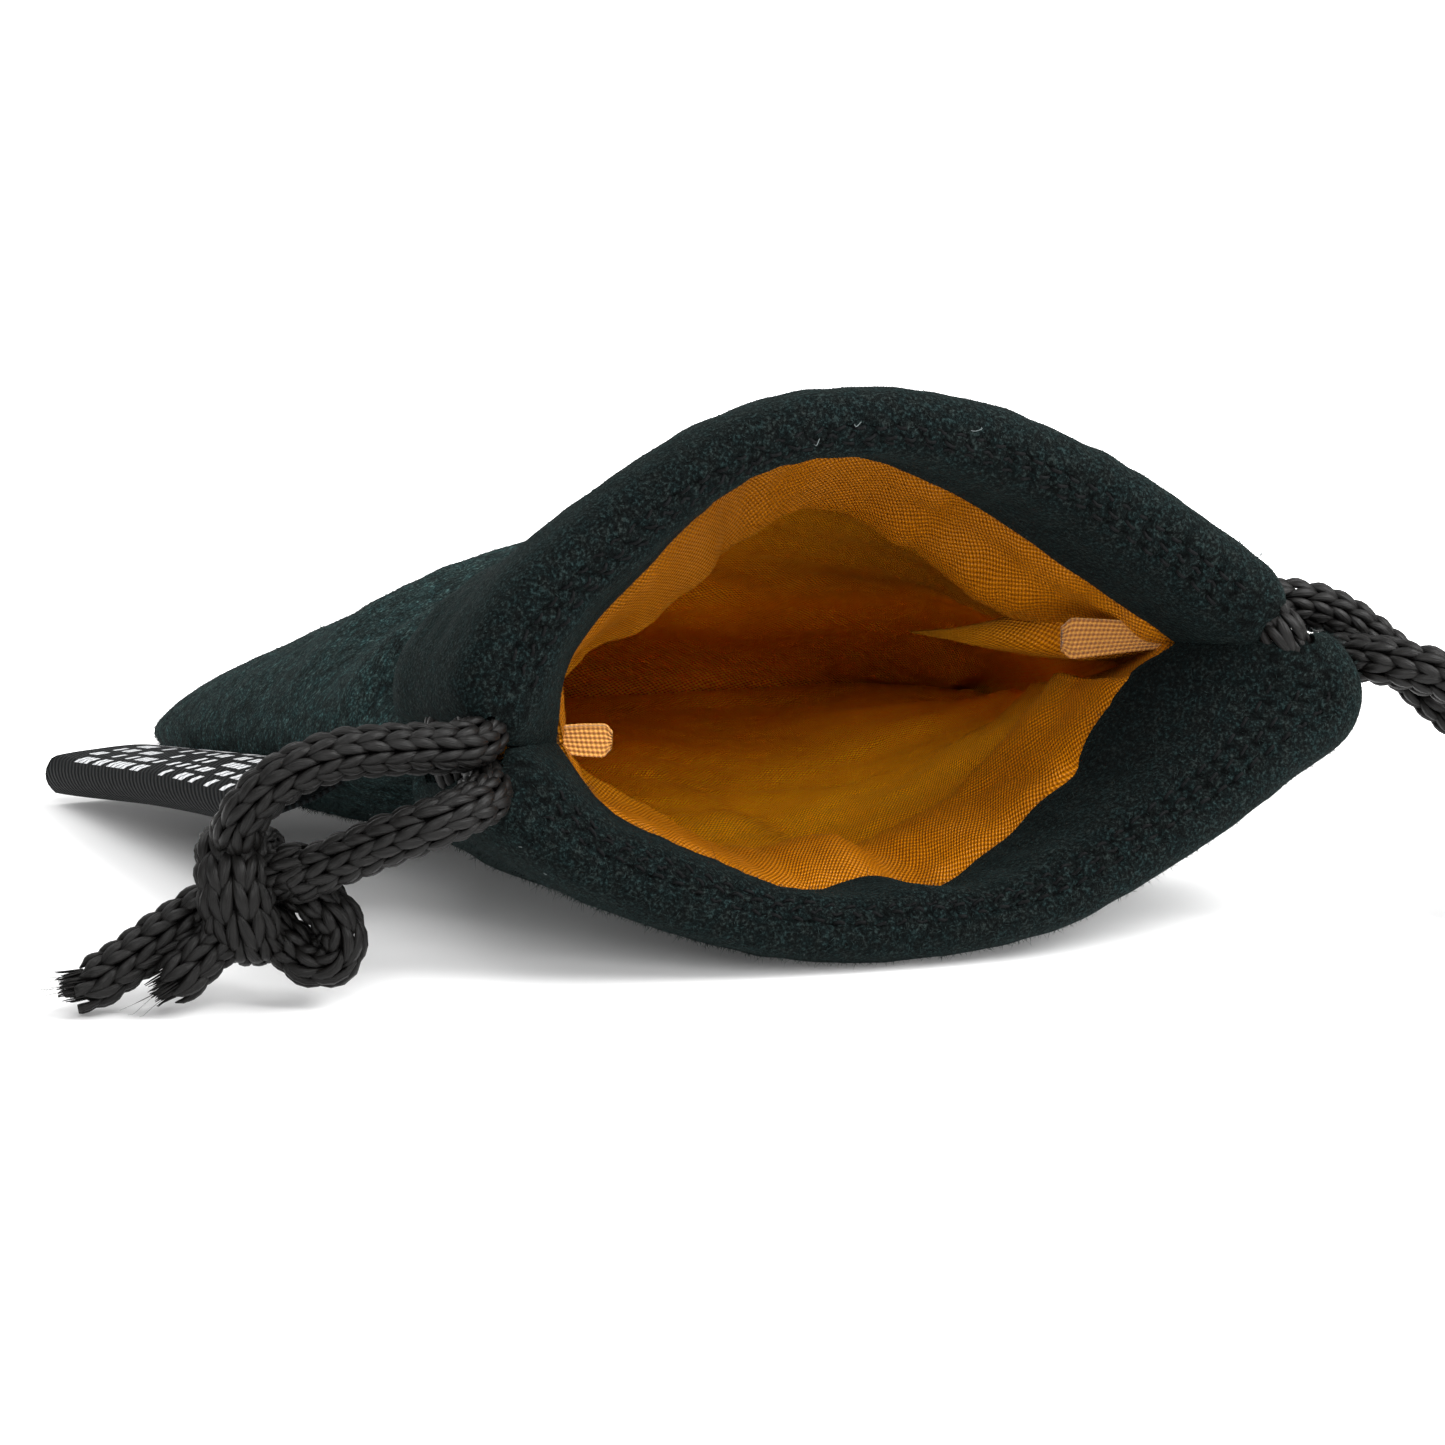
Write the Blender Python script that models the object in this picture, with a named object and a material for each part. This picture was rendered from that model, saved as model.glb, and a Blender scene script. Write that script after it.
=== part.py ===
"""Drawstring dice bag, lying on its side with its mouth held open.

Frame: X runs across the mouth, +Y from the mouth to the bottom seam, +Z up.
The origin is the centre of the footprint, on the surface that the bag lies on.
Metres throughout. Sizes and routes are written from the bag's own centre line, and one
empty carries every piece from there to the frame.
"""

import math

import bmesh
import bpy
from mathutils import Vector

MM = 0.001

# Cloth sizes
BAG_WIDTH = 102 * MM
BAG_LENGTH = 127 * MM
FLEECE = 1.4 * MM
LINING = 0.5 * MM
GAP = 0.3 * MM
HEM_DEPTH = 24 * MM
HEM_THICKNESS = 8.0 * MM
HEM_EDGE = 0.8 * MM
HEM_ROUNDING = 0.28
HEM_TAPER_START = 0.62
HEM_TAPER = 0.62
HEM_STATIONS = (0, 0.06, 0.16, 0.3, 0.5, 0.66, 0.84, 1)
FACING_DEPTH = 10 * MM
CLOTH_COLUMNS = 25
OUTER_LIMIT = 0.995
BODY_START = 5 * MM
LINING_SHORTENING = 2.5 * MM
LINING_LIMITS = (0.8, 0.96)
LINING_WIDENING = 2.2

# Cord and label sizes
CORD_DIAMETER = 4.8 * MM
CHANNEL_HEIGHT = 6.0 * MM
CHANNEL_FRONT = 3.2 * MM
CHANNEL_BACK = 14.2 * MM
FRONT_SLOT = 6.0 * MM
BACK_SLOT = 11.3 * MM
CHANNEL_BEVEL = (1.6 * MM, 1.3 * MM)
RUN_LIMITS = (-0.85, 0.84)
RUN_SPACING = 1.6
LABEL_PLY = 0.5 * MM
LABEL_LOOP = 3 * MM
LABEL_SEAM_REACH = 1.4 * MM
LABEL_SEAM_HEIGHT = 0.32
LABEL_MIDDLE = (0.4, 0.72)

# How far along the mouth each hem piece reaches, from -1 (left seam) to 1 (right seam)
LOWER_HEM_SPAN = (-0.86, 0.87)
CROWN_SPAN = (-0.2, 0.2)
LEFT_SHOULDER_SPAN = (-0.89, -0.206)
RIGHT_SHOULDER_SPAN = (0.206, 0.875)

# Heights of the seam that joins the two sides
SEAM_STACK = GAP / 2 + LINING + 1.6 * GAP + FLEECE
MOUTH_Y = -BAG_LENGTH / 2
BOTTOM_Y = BAG_LENGTH / 2
CROWN_POWER = 0.78
SEAM_POWER = 1.6
WIDENING_POWER = 1.45
PILLOW_SQUARENESS = 3
PILLOW_FULLNESS = 0.45
FLAT_END = 10 * MM
UPPER_FLAT_END = 6 * MM
FRAME_SHIFT = (6.45 * MM, 0.4 * MM, 0)

# The open mouth, as the middle of the cloth (x, z) from the left seam to the right seam
UPPER_ARC = [(-36.5, 25), (-35.8, 31.5), (-31, 39.8), (-22.5, 47), (-11, 52.8),
             (0.5, 54.7), (14, 52.6), (28, 46.2), (40, 38.2), (47.5, 32.5)]
LOWER_ARC = [(-36.5, 25), (-34.6, 19.2), (-25, 12.2), (-10, 6), (4, 4.4),
             (20, 5.4), (35, 11), (45, 19), (49.4, 26), (47.5, 32.5)]

# Free strands of the two cords (x, y, z), from inside the hem to the knot
LEFT_UPPER_STRAND = [(-36.4, -57.5, 28.9), (-36.6, -58.6, 26.4), (-37, -61.8, 24.9),
                     (-40, -65.2, 24.7), (-46, -66.6, 25.1), (-52, -66.8, 24.9),
                     (-57.4, -66.4, 23), (-61, -65.2, 19.4), (-61.6, -63.6, 16.4)]
LEFT_LOWER_STRAND = [(-35.3, -57.5, 18.4), (-36.2, -59, 19.6), (-36.8, -62.8, 20),
                     (-38.4, -67.8, 19.8), (-42.6, -70.6, 18.9), (-47.6, -70, 17.2),
                     (-52.4, -68.2, 15), (-56.6, -66, 12.8)]
RIGHT_UPPER_STRAND = [(43, -52.2, 32.2), (46.4, -51.8, 31.8), (51, -51.6, 31.9),
                      (56, -52, 30.4), (60.6, -53.4, 27), (65.2, -55.4, 22.6),
                      (70, -57.6, 18.2), (72.6, -58.6, 15.4)]
RIGHT_LOWER_STRAND = [(49.3, -52.2, 23.4), (51.2, -52.9, 25.8), (54.2, -56.6, 26.9),
                      (58.4, -60.6, 27), (63.6, -63, 25.6), (68.6, -63.6, 22.4),
                      (73, -62.6, 18.6)]

# Turns where a cord leaves one hem and goes back into the other
RIGHT_TURN = [(42.9, -57.5, 34), (45.4, -60, 33), (47.4, -61.9, 30.4),
              (48.6, -60.8, 28.2), (49, -58.2, 26.9)]
LEFT_TURN = [(-36.7, -52.2, 27.5), (-37.9, -52, 24.6), (-37.6, -52, 20.6), (-35.7, -52.2, 17.3)]

# Knots: centre of the wrap, its radii, and the bight beside it
KNOT_RADII = (4.5, 4.6, 7.2)
BIGHT_RADII = (3.9, 3.6, 4.9)
LEFT_KNOT = (-60.3, -61, 8.9)
LEFT_BIGHT = (-51.4, -60.6, 5.2)
RIGHT_KNOT = (76.4, -59.4, 8.9)
RIGHT_BIGHT = (67.4, -59.2, 5.2)
LEFT_LONG_TAIL = [(-65.2, -61.4, 7), (-69, -61.2, 5.2), (-73.2, -60.4, 3.4), (-77.4, -59.4, 2.6)]
LEFT_SHORT_TAIL = [(-63.4, -65.6, 4.9), (-65.6, -66.6, 3.5), (-68, -67, 2.6)]
RIGHT_LONG_TAIL = [(81.3, -59.6, 7), (85.2, -58.8, 5.2), (89, -57.6, 3.4), (93, -56, 2.6)]
RIGHT_SHORT_TAIL = [(79.6, -64.2, 4.9), (82, -65, 3.5), (84.4, -65.4, 2.6)]

# Label, folded over a loop and caught in the left side seam
LABEL_NEAR_Y = -25 * MM
LABEL_FAR_Y = 32 * MM
LABEL_NEAR_FOLD = (-55.8, -27, 10.8)
LABEL_FAR_FOLD = (-66, 30, 3.2)

# Bound seam ends that stand out of the corners of the mouth, as (x, z) from root to tip
TAPE_THICKNESS = 0.9 * MM
LEFT_TAPE = [(-28, 22.3), (-25, 22), (-21.8, 21.7)]
RIGHT_TAPE = [(35.8, 29.4), (31, 29.4), (27.4, 29.3)]
LEFT_TAPE_WIDTH = 3.2 * MM
RIGHT_TAPE_WIDTH = 4 * MM
TAPE_FRONT_Y = -53.5 * MM

COLOURS = {
    "fleece": ((0.012, 0.02, 0.022), 0.95),
    "lining": ((0.45, 0.2, 0.025), 0.6),
    "twill": ((0.62, 0.27, 0.08), 0.7),
    "cord": ((0.016, 0.014, 0.013), 0.55),
    "label": ((0.014, 0.014, 0.016), 0.6),
}
COLLECTION_NAME = "drawstring_dice_bag"


def clear_scene():
    for old in list(bpy.data.objects):
        bpy.data.objects.remove(old, do_unlink=True)


def new_collection(name):
    collection = bpy.data.collections.new(name)
    bpy.context.scene.collection.children.link(collection)
    return collection


def material(name, kind):
    colour, roughness = COLOURS[kind]
    made = bpy.data.materials.new(name)
    made.use_nodes = True
    shader = made.node_tree.nodes["Principled BSDF"]
    shader.inputs["Base Color"].default_value = (*colour, 1)
    shader.inputs["Roughness"].default_value = roughness
    shader.inputs["Metallic"].default_value = 0
    return made


def add_object(name, data, kind, collection):
    data.materials.append(material(name + "_material", kind))
    made = bpy.data.objects.new(name, data)
    collection.objects.link(made)
    return made


def spline_point(points, place):
    """Catmull-Rom point at place 0..len-1 along hand-set points of any dimension."""
    last = len(points) - 1
    i = min(int(place), last - 1)
    u = place - i
    a, b = points[i], points[i + 1]
    before = points[i - 1] if i else 2 * a - b
    after = points[i + 2] if i + 2 <= last else 2 * b - a
    return 0.5 * (2 * a + (b - before) * u + (2 * before - 5 * a + 4 * b - after) * u ** 2
                  + (3 * a - before - 3 * b + after) * u ** 3)


def even_points(points, count):
    """count points evenly spaced along the smooth curve through the given points."""
    fine = 40 * (len(points) - 1)
    dense = [spline_point(points, (len(points) - 1) * i / fine) for i in range(fine + 1)]
    along = [0.0]
    for a, b in zip(dense, dense[1:]):
        along.append(along[-1] + (b - a).length)
    result = []
    j = 0
    for i in range(count):
        target = along[-1] * i / (count - 1)
        while j < fine - 1 and along[j + 1] < target:
            j += 1
        share = (target - along[j]) / (along[j + 1] - along[j])
        result.append(dense[j].lerp(dense[j + 1], min(max(share, 0), 1)))
    return result


def scaled(points):
    return [Vector(p) * MM for p in points]


ARC_STEPS = 200
MOUTH = {"upper": even_points(scaled(UPPER_ARC), ARC_STEPS + 1),
         "lower": even_points(scaled(LOWER_ARC), ARC_STEPS + 1)}
LEFT_SEAM = MOUTH["upper"][0]
RIGHT_SEAM = MOUTH["upper"][-1]
CROWN_Z = max(p.y for p in MOUTH["upper"])
BOTTOM_Z = SEAM_STACK


def mouth_point(side, s):
    """(x, z) of the mouth at s = -1 (left seam) to 1 (right seam)."""
    place = (s + 1) / 2 * ARC_STEPS
    i = min(int(place), ARC_STEPS - 1)
    return MOUTH[side][i].lerp(MOUTH[side][i + 1], place - i)


def cloth_point(side, s, y):
    """Middle of the cloth of one side of the bag, between the open mouth and the flat bottom.

    The upper side goes from the mouth's arch to a fuller pillow shape towards the bottom.
    """
    t = min((y - MOUTH_Y) / (BAG_LENGTH - FLAT_END), 1)
    seam_rise = (1 - t) ** SEAM_POWER
    widening = 1 - (1 - t ** WIDENING_POWER) ** 2
    mouth = mouth_point(side, s)
    seam_mouth_z = LEFT_SEAM.y + (RIGHT_SEAM.y - LEFT_SEAM.y) * (s + 1) / 2
    seam_z = BOTTOM_Z + (seam_mouth_z - BOTTOM_Z) * seam_rise
    x = mouth.x + (BAG_WIDTH / 2 * s - mouth.x) * widening
    if side == "lower":
        return Vector((x, y, seam_z + (mouth.y - seam_mouth_z) * seam_rise))
    back = min((y - MOUTH_Y) / (BAG_LENGTH - UPPER_FLAT_END), 1)
    crown = BOTTOM_Z + (CROWN_Z - BOTTOM_Z) * (1 - back) ** CROWN_POWER
    middle_mouth = (LEFT_SEAM.y + RIGHT_SEAM.y) / 2
    middle_seam = BOTTOM_Z + (middle_mouth - BOTTOM_Z) * seam_rise
    arch = (mouth.y - seam_mouth_z) / (CROWN_Z - middle_mouth)
    pillow = (1 - abs(s) ** PILLOW_SQUARENESS) ** PILLOW_FULLNESS
    return Vector((x, y, seam_z + (crown - middle_seam) * (arch + (pillow - arch) * back)))


def outward(side, s, y):
    """Unit normal of the cloth, away from the inside of the bag."""
    step = 0.01
    lo, hi = max(s - step, -1), min(s + step, 1)
    across = cloth_point(side, hi, y) - cloth_point(side, lo, y)
    near, far = max(y - 1 * MM, MOUTH_Y), min(y + 1 * MM, BOTTOM_Y)
    along = cloth_point(side, s, far) - cloth_point(side, s, near)
    normal = across.cross(along).normalized()
    return normal if side == "upper" else -normal


def offset_point(side, s, y, distance):
    return cloth_point(side, s, y) + outward(side, s, y) * distance


def spread(first, last, count):
    return [first + (last - first) * i / (count - 1) for i in range(count)]


def loft(name, rings, kind, collection):
    """Skins a list of equal closed rings of points and closes the two ends."""
    bm = bmesh.new()
    rows = [[bm.verts.new(p) for p in ring] for ring in rings]
    count = len(rings[0])
    for a, b in zip(rows, rows[1:]):
        for i in range(count):
            j = (i + 1) % count
            bm.faces.new((a[i], a[j], b[j], b[i]))
    bm.faces.new(rows[0])
    bm.faces.new(rows[-1])
    bmesh.ops.recalc_face_normals(bm, faces=bm.faces)
    mesh = bpy.data.meshes.new(name)
    bm.to_mesh(mesh)
    bm.free()
    return add_object(name, mesh, kind, collection)


def cloth_panel(name, side, kind, ys, s_limit, thickness, distance, collection):
    """A sheet of one side: distance(y) is how far its middle lies outside the cloth's middle."""
    quarter_turn = math.pi / 2
    rings = []
    for y in ys:
        limit = s_limit(y)
        turns = spread(-quarter_turn, quarter_turn, CLOTH_COLUMNS)
        s_values = [limit * math.sin(turn) for turn in turns]
        inner = [offset_point(side, s, y, distance(y) - thickness / 2) for s in s_values]
        outer = [offset_point(side, s, y, distance(y) + thickness / 2) for s in s_values]
        rings.append(inner + outer[::-1])
    return loft(name, rings, kind, collection)


def hem_half_thickness(depth):
    """Half thickness of the puffy hem at a depth behind the rim."""
    share = depth / HEM_DEPTH
    full = HEM_THICKNESS / 2
    round_front = (1 - (1 - min(share / HEM_ROUNDING, 1)) ** 2) ** 0.5
    taper = 1 - HEM_TAPER * max((share - HEM_TAPER_START) / (1 - HEM_TAPER_START), 0) ** 2
    return max(full * round_front * taper, HEM_EDGE / 2)


def hem(name, side, span, stations, collection):
    """A hem tube with the open channel that the cords run in."""
    depths = [share * HEM_DEPTH for share in HEM_STATIONS]
    slope, shoulder = CHANNEL_BEVEL
    channel = [CHANNEL_FRONT, CHANNEL_FRONT + slope, CHANNEL_BACK - slope, CHANNEL_BACK]
    outer_rings, inner_rings = [], []
    for s in spread(*span, stations):
        top = [offset_point(side, s, MOUTH_Y + d, hem_half_thickness(d)) for d in depths]
        under = [offset_point(side, s, MOUTH_Y + d, -hem_half_thickness(d)) for d in depths]
        outer_rings.append(top + under[::-1])
        half = CHANNEL_HEIGHT / 2
        heights = [half - shoulder, half, half, half - shoulder]
        roof = [offset_point(side, s, MOUTH_Y + d, h) for d, h in zip(channel, heights)]
        sole = [offset_point(side, s, MOUTH_Y + d, -h) for d, h in zip(channel, heights)]
        inner_rings.append(roof + sole[::-1])
    return tube_with_channel(name, outer_rings, inner_rings, collection)


def tube_with_channel(name, outer_rings, inner_rings, collection):
    bm = bmesh.new()
    outer = [[bm.verts.new(p) for p in ring] for ring in outer_rings]
    inner = [[bm.verts.new(p) for p in ring] for ring in inner_rings]
    for rows in (outer, inner):
        count = len(rows[0])
        for a, b in zip(rows, rows[1:]):
            for i in range(count):
                bm.faces.new((a[i], a[(i + 1) % count], b[(i + 1) % count], b[i]))
    for end in (0, -1):
        edges = []
        for row in (outer[end], inner[end]):
            for i, vert in enumerate(row):
                edges.append(bm.edges.get((vert, row[(i + 1) % len(row)])))
        bmesh.ops.triangle_fill(bm, use_beauty=True, edges=edges)
    bmesh.ops.recalc_face_normals(bm, faces=bm.faces)
    mesh = bpy.data.meshes.new(name)
    bm.to_mesh(mesh)
    bm.free()
    return add_object(name, mesh, "fleece", collection)


def cord(name, points, collection, spacing=1.2):
    """A plain round cord along a smooth route, in metres."""
    length = sum((b - a).length for a, b in zip(points, points[1:]))
    count = max(6, round(length / (spacing * CORD_DIAMETER)) + 1)
    curve = bpy.data.curves.new(name, "CURVE")
    curve.dimensions = "3D"
    curve.bevel_depth = CORD_DIAMETER / 2
    curve.bevel_resolution = 3
    curve.use_fill_caps = True
    curve.render_resolution_u = 0
    spline = curve.splines.new("POLY")
    route = even_points(points, count)
    spline.points.add(count - 1)
    for place, p in zip(spline.points, route):
        place.co = (*p, 1)
    return add_object(name, curve, "cord", collection)


def channel_run(side, depth):
    """Route of a cord inside a hem, at a depth behind the rim."""
    return [cloth_point(side, s, MOUTH_Y + depth) for s in spread(*RUN_LIMITS, 15)]


def ball(name, centre, radii, collection):
    mesh = bpy.data.meshes.new(name)
    bm = bmesh.new()
    bmesh.ops.create_uvsphere(bm, u_segments=20, v_segments=12, radius=1)
    bmesh.ops.scale(bm, vec=Vector(radii) * MM, verts=bm.verts)
    bmesh.ops.translate(bm, vec=Vector(centre) * MM, verts=bm.verts)
    bm.to_mesh(mesh)
    bm.free()
    mesh.shade_smooth()
    return add_object(name, mesh, "cord", collection)


def make_shells(bag):
    hem_back = MOUTH_Y + HEM_DEPTH + GAP
    flat_start = BOTTOM_Y - FLAT_END
    body_ys = spread(hem_back + BODY_START, flat_start, 10) + [flat_start + 4 * MM]
    outer_ys = [hem_back] + body_ys + [BOTTOM_Y]
    lining_ys = spread(MOUTH_Y + FACING_DEPTH, MOUTH_Y + HEM_DEPTH, 4) + body_ys
    lining_ys.append(BOTTOM_Y - LINING_SHORTENING)

    def lining_offset(y):
        depth = y - MOUTH_Y
        over_hem = -(hem_half_thickness(min(depth, HEM_DEPTH)) + GAP + LINING / 2)
        in_body = (GAP + LINING) / 2
        behind = max(0, min(1, (depth - HEM_DEPTH) / BODY_START))
        return over_hem + (in_body - over_hem) * behind

    def lining_limit(y):
        t = (y - MOUTH_Y) / BAG_LENGTH
        front, back = LINING_LIMITS
        return front + (back - front) * min(1, LINING_WIDENING * t)

    for side in ("upper", "lower"):
        cloth_panel(f"outer_{side}_panel", side, "fleece", outer_ys, lambda y: OUTER_LIMIT,
                    FLEECE, lambda y: SEAM_STACK - FLEECE / 2, bag)
        cloth_panel(f"lining_{side}_panel", side, "lining", lining_ys, lining_limit,
                    LINING, lining_offset, bag)


def make_hems(bag):
    hem("lower_hem", "lower", LOWER_HEM_SPAN, 27, bag)
    hem("upper_hem_crown", "upper", CROWN_SPAN, 5, bag)
    hem("upper_hem_left_shoulder", "upper", LEFT_SHOULDER_SPAN, 11, bag)
    hem("upper_hem_right_shoulder", "upper", RIGHT_SHOULDER_SPAN, 9, bag)


def make_cords(bag):
    cord("left_cord_upper_strand", scaled(LEFT_UPPER_STRAND), bag)
    cord("left_cord_lower_strand", scaled(LEFT_LOWER_STRAND), bag)
    cord("left_cord_upper_run", channel_run("upper", FRONT_SLOT), bag, RUN_SPACING)
    cord("left_cord_lower_run", channel_run("lower", FRONT_SLOT), bag, RUN_SPACING)
    cord("left_cord_turn", scaled(RIGHT_TURN), bag)
    cord("right_cord_upper_strand", scaled(RIGHT_UPPER_STRAND), bag)
    cord("right_cord_lower_strand", scaled(RIGHT_LOWER_STRAND), bag)
    cord("right_cord_upper_run", channel_run("upper", BACK_SLOT), bag, RUN_SPACING)
    cord("right_cord_lower_run", channel_run("lower", BACK_SLOT), bag, RUN_SPACING)
    cord("right_cord_turn", scaled(LEFT_TURN), bag)


def label_ring(root, fold, seam_direction):
    """Outline of the folded strip at one end, from the seam round the fold and back."""
    out = fold - root
    out -= seam_direction * out.dot(seam_direction)
    width = out.length
    out.normalize()
    up = seam_direction.cross(out).normalized()
    if up.z < 0:
        up = -up
    half = LABEL_LOOP / 2
    place, fullness = LABEL_MIDDLE
    upper_face = [(LABEL_SEAM_REACH, LABEL_SEAM_HEIGHT), (place * width, fullness),
                  (width - half, 1)]
    outer, inner = [], []
    for reach, height in upper_face:
        outer.append((reach, height * half))
        inner.append((reach, height * half - LABEL_PLY))
    for angle in (45, 90, 135):
        turn = math.radians(90 - angle)
        outer.append((width - half + half * math.cos(turn), half * math.sin(turn)))
        bend = half - LABEL_PLY
        inner.append((width - half + bend * math.cos(turn), bend * math.sin(turn)))
    for reach, height in upper_face[::-1]:
        outer.append((reach, -height * half))
        inner.append((reach, LABEL_PLY - height * half))
    return [root + out * r + up * h for r, h in outer + inner[::-1]]


def make_label(bag):
    roots = [cloth_point("upper", -1, y) for y in (LABEL_NEAR_Y, LABEL_FAR_Y)]
    folds = [Vector(p) * MM for p in (LABEL_NEAR_FOLD, LABEL_FAR_FOLD)]
    seam_direction = (roots[1] - roots[0]).normalized()
    rings = []
    for share in spread(0, 1, 5):
        root = roots[0].lerp(roots[1], share)
        fold = folds[0].lerp(folds[1], share)
        rings.append(label_ring(root, fold, seam_direction))
    loft("woven_label", rings, "label", bag)


def seam_tape(name, outline, width, bag):
    """End of the tape that binds an inner side seam, a flat strip across the corner."""
    half = Vector((0, 0, width / 2))
    rings = []
    for y in (TAPE_FRONT_Y, TAPE_FRONT_Y + TAPE_THICKNESS):
        line = [Vector((x * MM, y, z * MM)) for x, z in outline]
        rings.append([p - half for p in line] + [p + half for p in line[::-1]])
    loft(name, rings, "twill", bag)


def make_tapes(bag):
    seam_tape("left_seam_tape", LEFT_TAPE, LEFT_TAPE_WIDTH, bag)
    seam_tape("right_seam_tape", RIGHT_TAPE, RIGHT_TAPE_WIDTH, bag)


def make_knots(bag):
    ball("left_knot", LEFT_KNOT, KNOT_RADII, bag)
    ball("left_knot_bight", LEFT_BIGHT, BIGHT_RADII, bag)
    cord("left_long_tail", scaled(LEFT_LONG_TAIL), bag)
    cord("left_short_tail", scaled(LEFT_SHORT_TAIL), bag)
    ball("right_knot", RIGHT_KNOT, KNOT_RADII, bag)
    ball("right_knot_bight", RIGHT_BIGHT, BIGHT_RADII, bag)
    cord("right_long_tail", scaled(RIGHT_LONG_TAIL), bag)
    cord("right_short_tail", scaled(RIGHT_SHORT_TAIL), bag)


def place_in_frame(collection):
    """Parents every piece to one empty, which puts the footprint's centre at the origin."""
    pieces = list(collection.objects)
    frame = bpy.data.objects.new("bag_frame", None)
    frame.location = FRAME_SHIFT
    collection.objects.link(frame)
    for piece in pieces:
        piece.parent = frame


clear_scene()
bag_collection = new_collection(COLLECTION_NAME)
make_shells(bag_collection)
make_hems(bag_collection)
make_cords(bag_collection)
make_knots(bag_collection)
make_label(bag_collection)
make_tapes(bag_collection)
place_in_frame(bag_collection)
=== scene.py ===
"""Looks of the drawstring dice bag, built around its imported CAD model.

Shapes are worked out in millimetres from the bag's own centre line, as in the CAD source,
and put_in_frame() turns them into the frame's metres.
"""

import math
import random

import bpy
import numpy as np
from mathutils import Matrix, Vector, noise


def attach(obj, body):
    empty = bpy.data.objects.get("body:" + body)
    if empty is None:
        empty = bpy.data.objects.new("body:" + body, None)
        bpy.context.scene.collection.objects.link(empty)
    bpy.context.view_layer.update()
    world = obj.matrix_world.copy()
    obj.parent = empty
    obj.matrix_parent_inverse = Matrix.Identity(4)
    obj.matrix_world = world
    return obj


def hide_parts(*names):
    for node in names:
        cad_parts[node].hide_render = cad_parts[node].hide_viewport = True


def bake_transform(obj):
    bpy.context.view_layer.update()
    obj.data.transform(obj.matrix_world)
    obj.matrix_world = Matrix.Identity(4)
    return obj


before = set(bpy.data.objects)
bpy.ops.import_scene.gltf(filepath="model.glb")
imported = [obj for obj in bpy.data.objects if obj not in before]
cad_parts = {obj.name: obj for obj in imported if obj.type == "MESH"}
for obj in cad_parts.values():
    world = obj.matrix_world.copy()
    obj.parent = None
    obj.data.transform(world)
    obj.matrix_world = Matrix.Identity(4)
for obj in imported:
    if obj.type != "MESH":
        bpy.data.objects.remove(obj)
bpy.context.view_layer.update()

# Sizes in millimetres, repeated from the CAD source
MM = 0.001
FRAME_SHIFT = np.array((6.45, 0.4, 0.0))
BAG_WIDTH = 102.0
BAG_LENGTH = 127.0
FLAT_END = 10.0
UPPER_FLAT_END = 6.0
MOUTH_Y = -BAG_LENGTH / 2
BOTTOM_Y = BAG_LENGTH / 2
CROWN_POWER = 0.78
SEAM_POWER = 1.6
WIDENING_POWER = 1.45
PILLOW_SQUARENESS = 3
PILLOW_FULLNESS = 0.45
SEAM_STACK = 2.53
HEM_DEPTH = 24.0
CORD_DIAMETER = 4.8
FRONT_SLOT = 6.0
BACK_SLOT = 11.3
LIP_BOW = 5.0

# The open mouth, as the middle of the cloth (x, z) from the left seam to the right seam
UPPER_ARC = [(-36.5, 25), (-35.8, 31.5), (-31, 38.7), (-22.5, 45.7), (-11, 52.5),
             (0.5, 54.7), (14, 52.6), (28, 46.2), (40, 37.8), (47.5, 32.3)]
LOWER_ARC = [(-36.5, 25), (-34.6, 19.2), (-25, 12.2), (-10, 6), (4, 4.4),
             (20, 5.9), (34.2, 13), (45.2, 20.4), (51, 24.8), (47.5, 32.3)]

# Routes of the free strands and of the turns between the hems
LEFT_UPPER_STRAND = [(-36.4, -57.5, 28.9), (-36.6, -58.6, 26.4), (-37, -61.8, 24.9),
                     (-40, -65.2, 24.7), (-46, -66.6, 25.1), (-52, -66.8, 24.9),
                     (-57.4, -66.4, 23), (-61, -65.2, 19.4), (-61.6, -63.6, 16.4)]
LEFT_LOWER_STRAND = [(-35.3, -57.5, 18.4), (-36.2, -59, 19.6), (-36.8, -62.8, 20),
                     (-38.4, -67.8, 19.8), (-42.6, -70.6, 18.9), (-47.6, -70, 17.2),
                     (-52.4, -68.2, 15), (-56.6, -66, 12.8)]
RIGHT_UPPER_STRAND = [(43, -52.2, 32.2), (46.4, -51.8, 31.8), (51, -51.6, 31.9),
                      (56, -52, 30.4), (60.6, -53.4, 27), (65.2, -55.4, 22.6),
                      (70, -57.6, 18.2), (72.6, -58.6, 15.4)]
RIGHT_LOWER_STRAND = [(49.3, -52.2, 23.4), (51.2, -52.9, 25.8), (54.2, -56.6, 26.9),
                      (58.4, -60.6, 27), (63.6, -63, 25.6), (68.6, -63.6, 22.4),
                      (73, -62.6, 18.6)]
RIGHT_TURN = [(42.6, -57.5, 34), (44.6, -60, 32.8), (46.4, -61.7, 30.2),
              (47.6, -60.8, 27.8), (48.4, -58.2, 26.2)]
LEFT_TURN = [(-36.7, -52.2, 27.5), (-37.9, -52, 24.6), (-37.6, -52, 20.6), (-35.7, -52.2, 17.3)]

LEFT_KNOT = (-60.3, -61, 9.9)
RIGHT_KNOT = (76.4, -59.4, 9.9)

LABEL_NEAR_Y = -25.0
LABEL_FAR_Y = 32.0
LABEL_NEAR_FOLD = (-55.8, -27, 10.8)
LABEL_FAR_FOLD = (-67.6, 30, 3.2)

# Camera
CAMERA_PLACE = (-133.55, -526.7, 127.4)
CAMERA_TURN = (78, 0, -15.3)
CAMERA_LENS = 124.6


# ---------------------------------------------------------------- curves and surfaces

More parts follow.
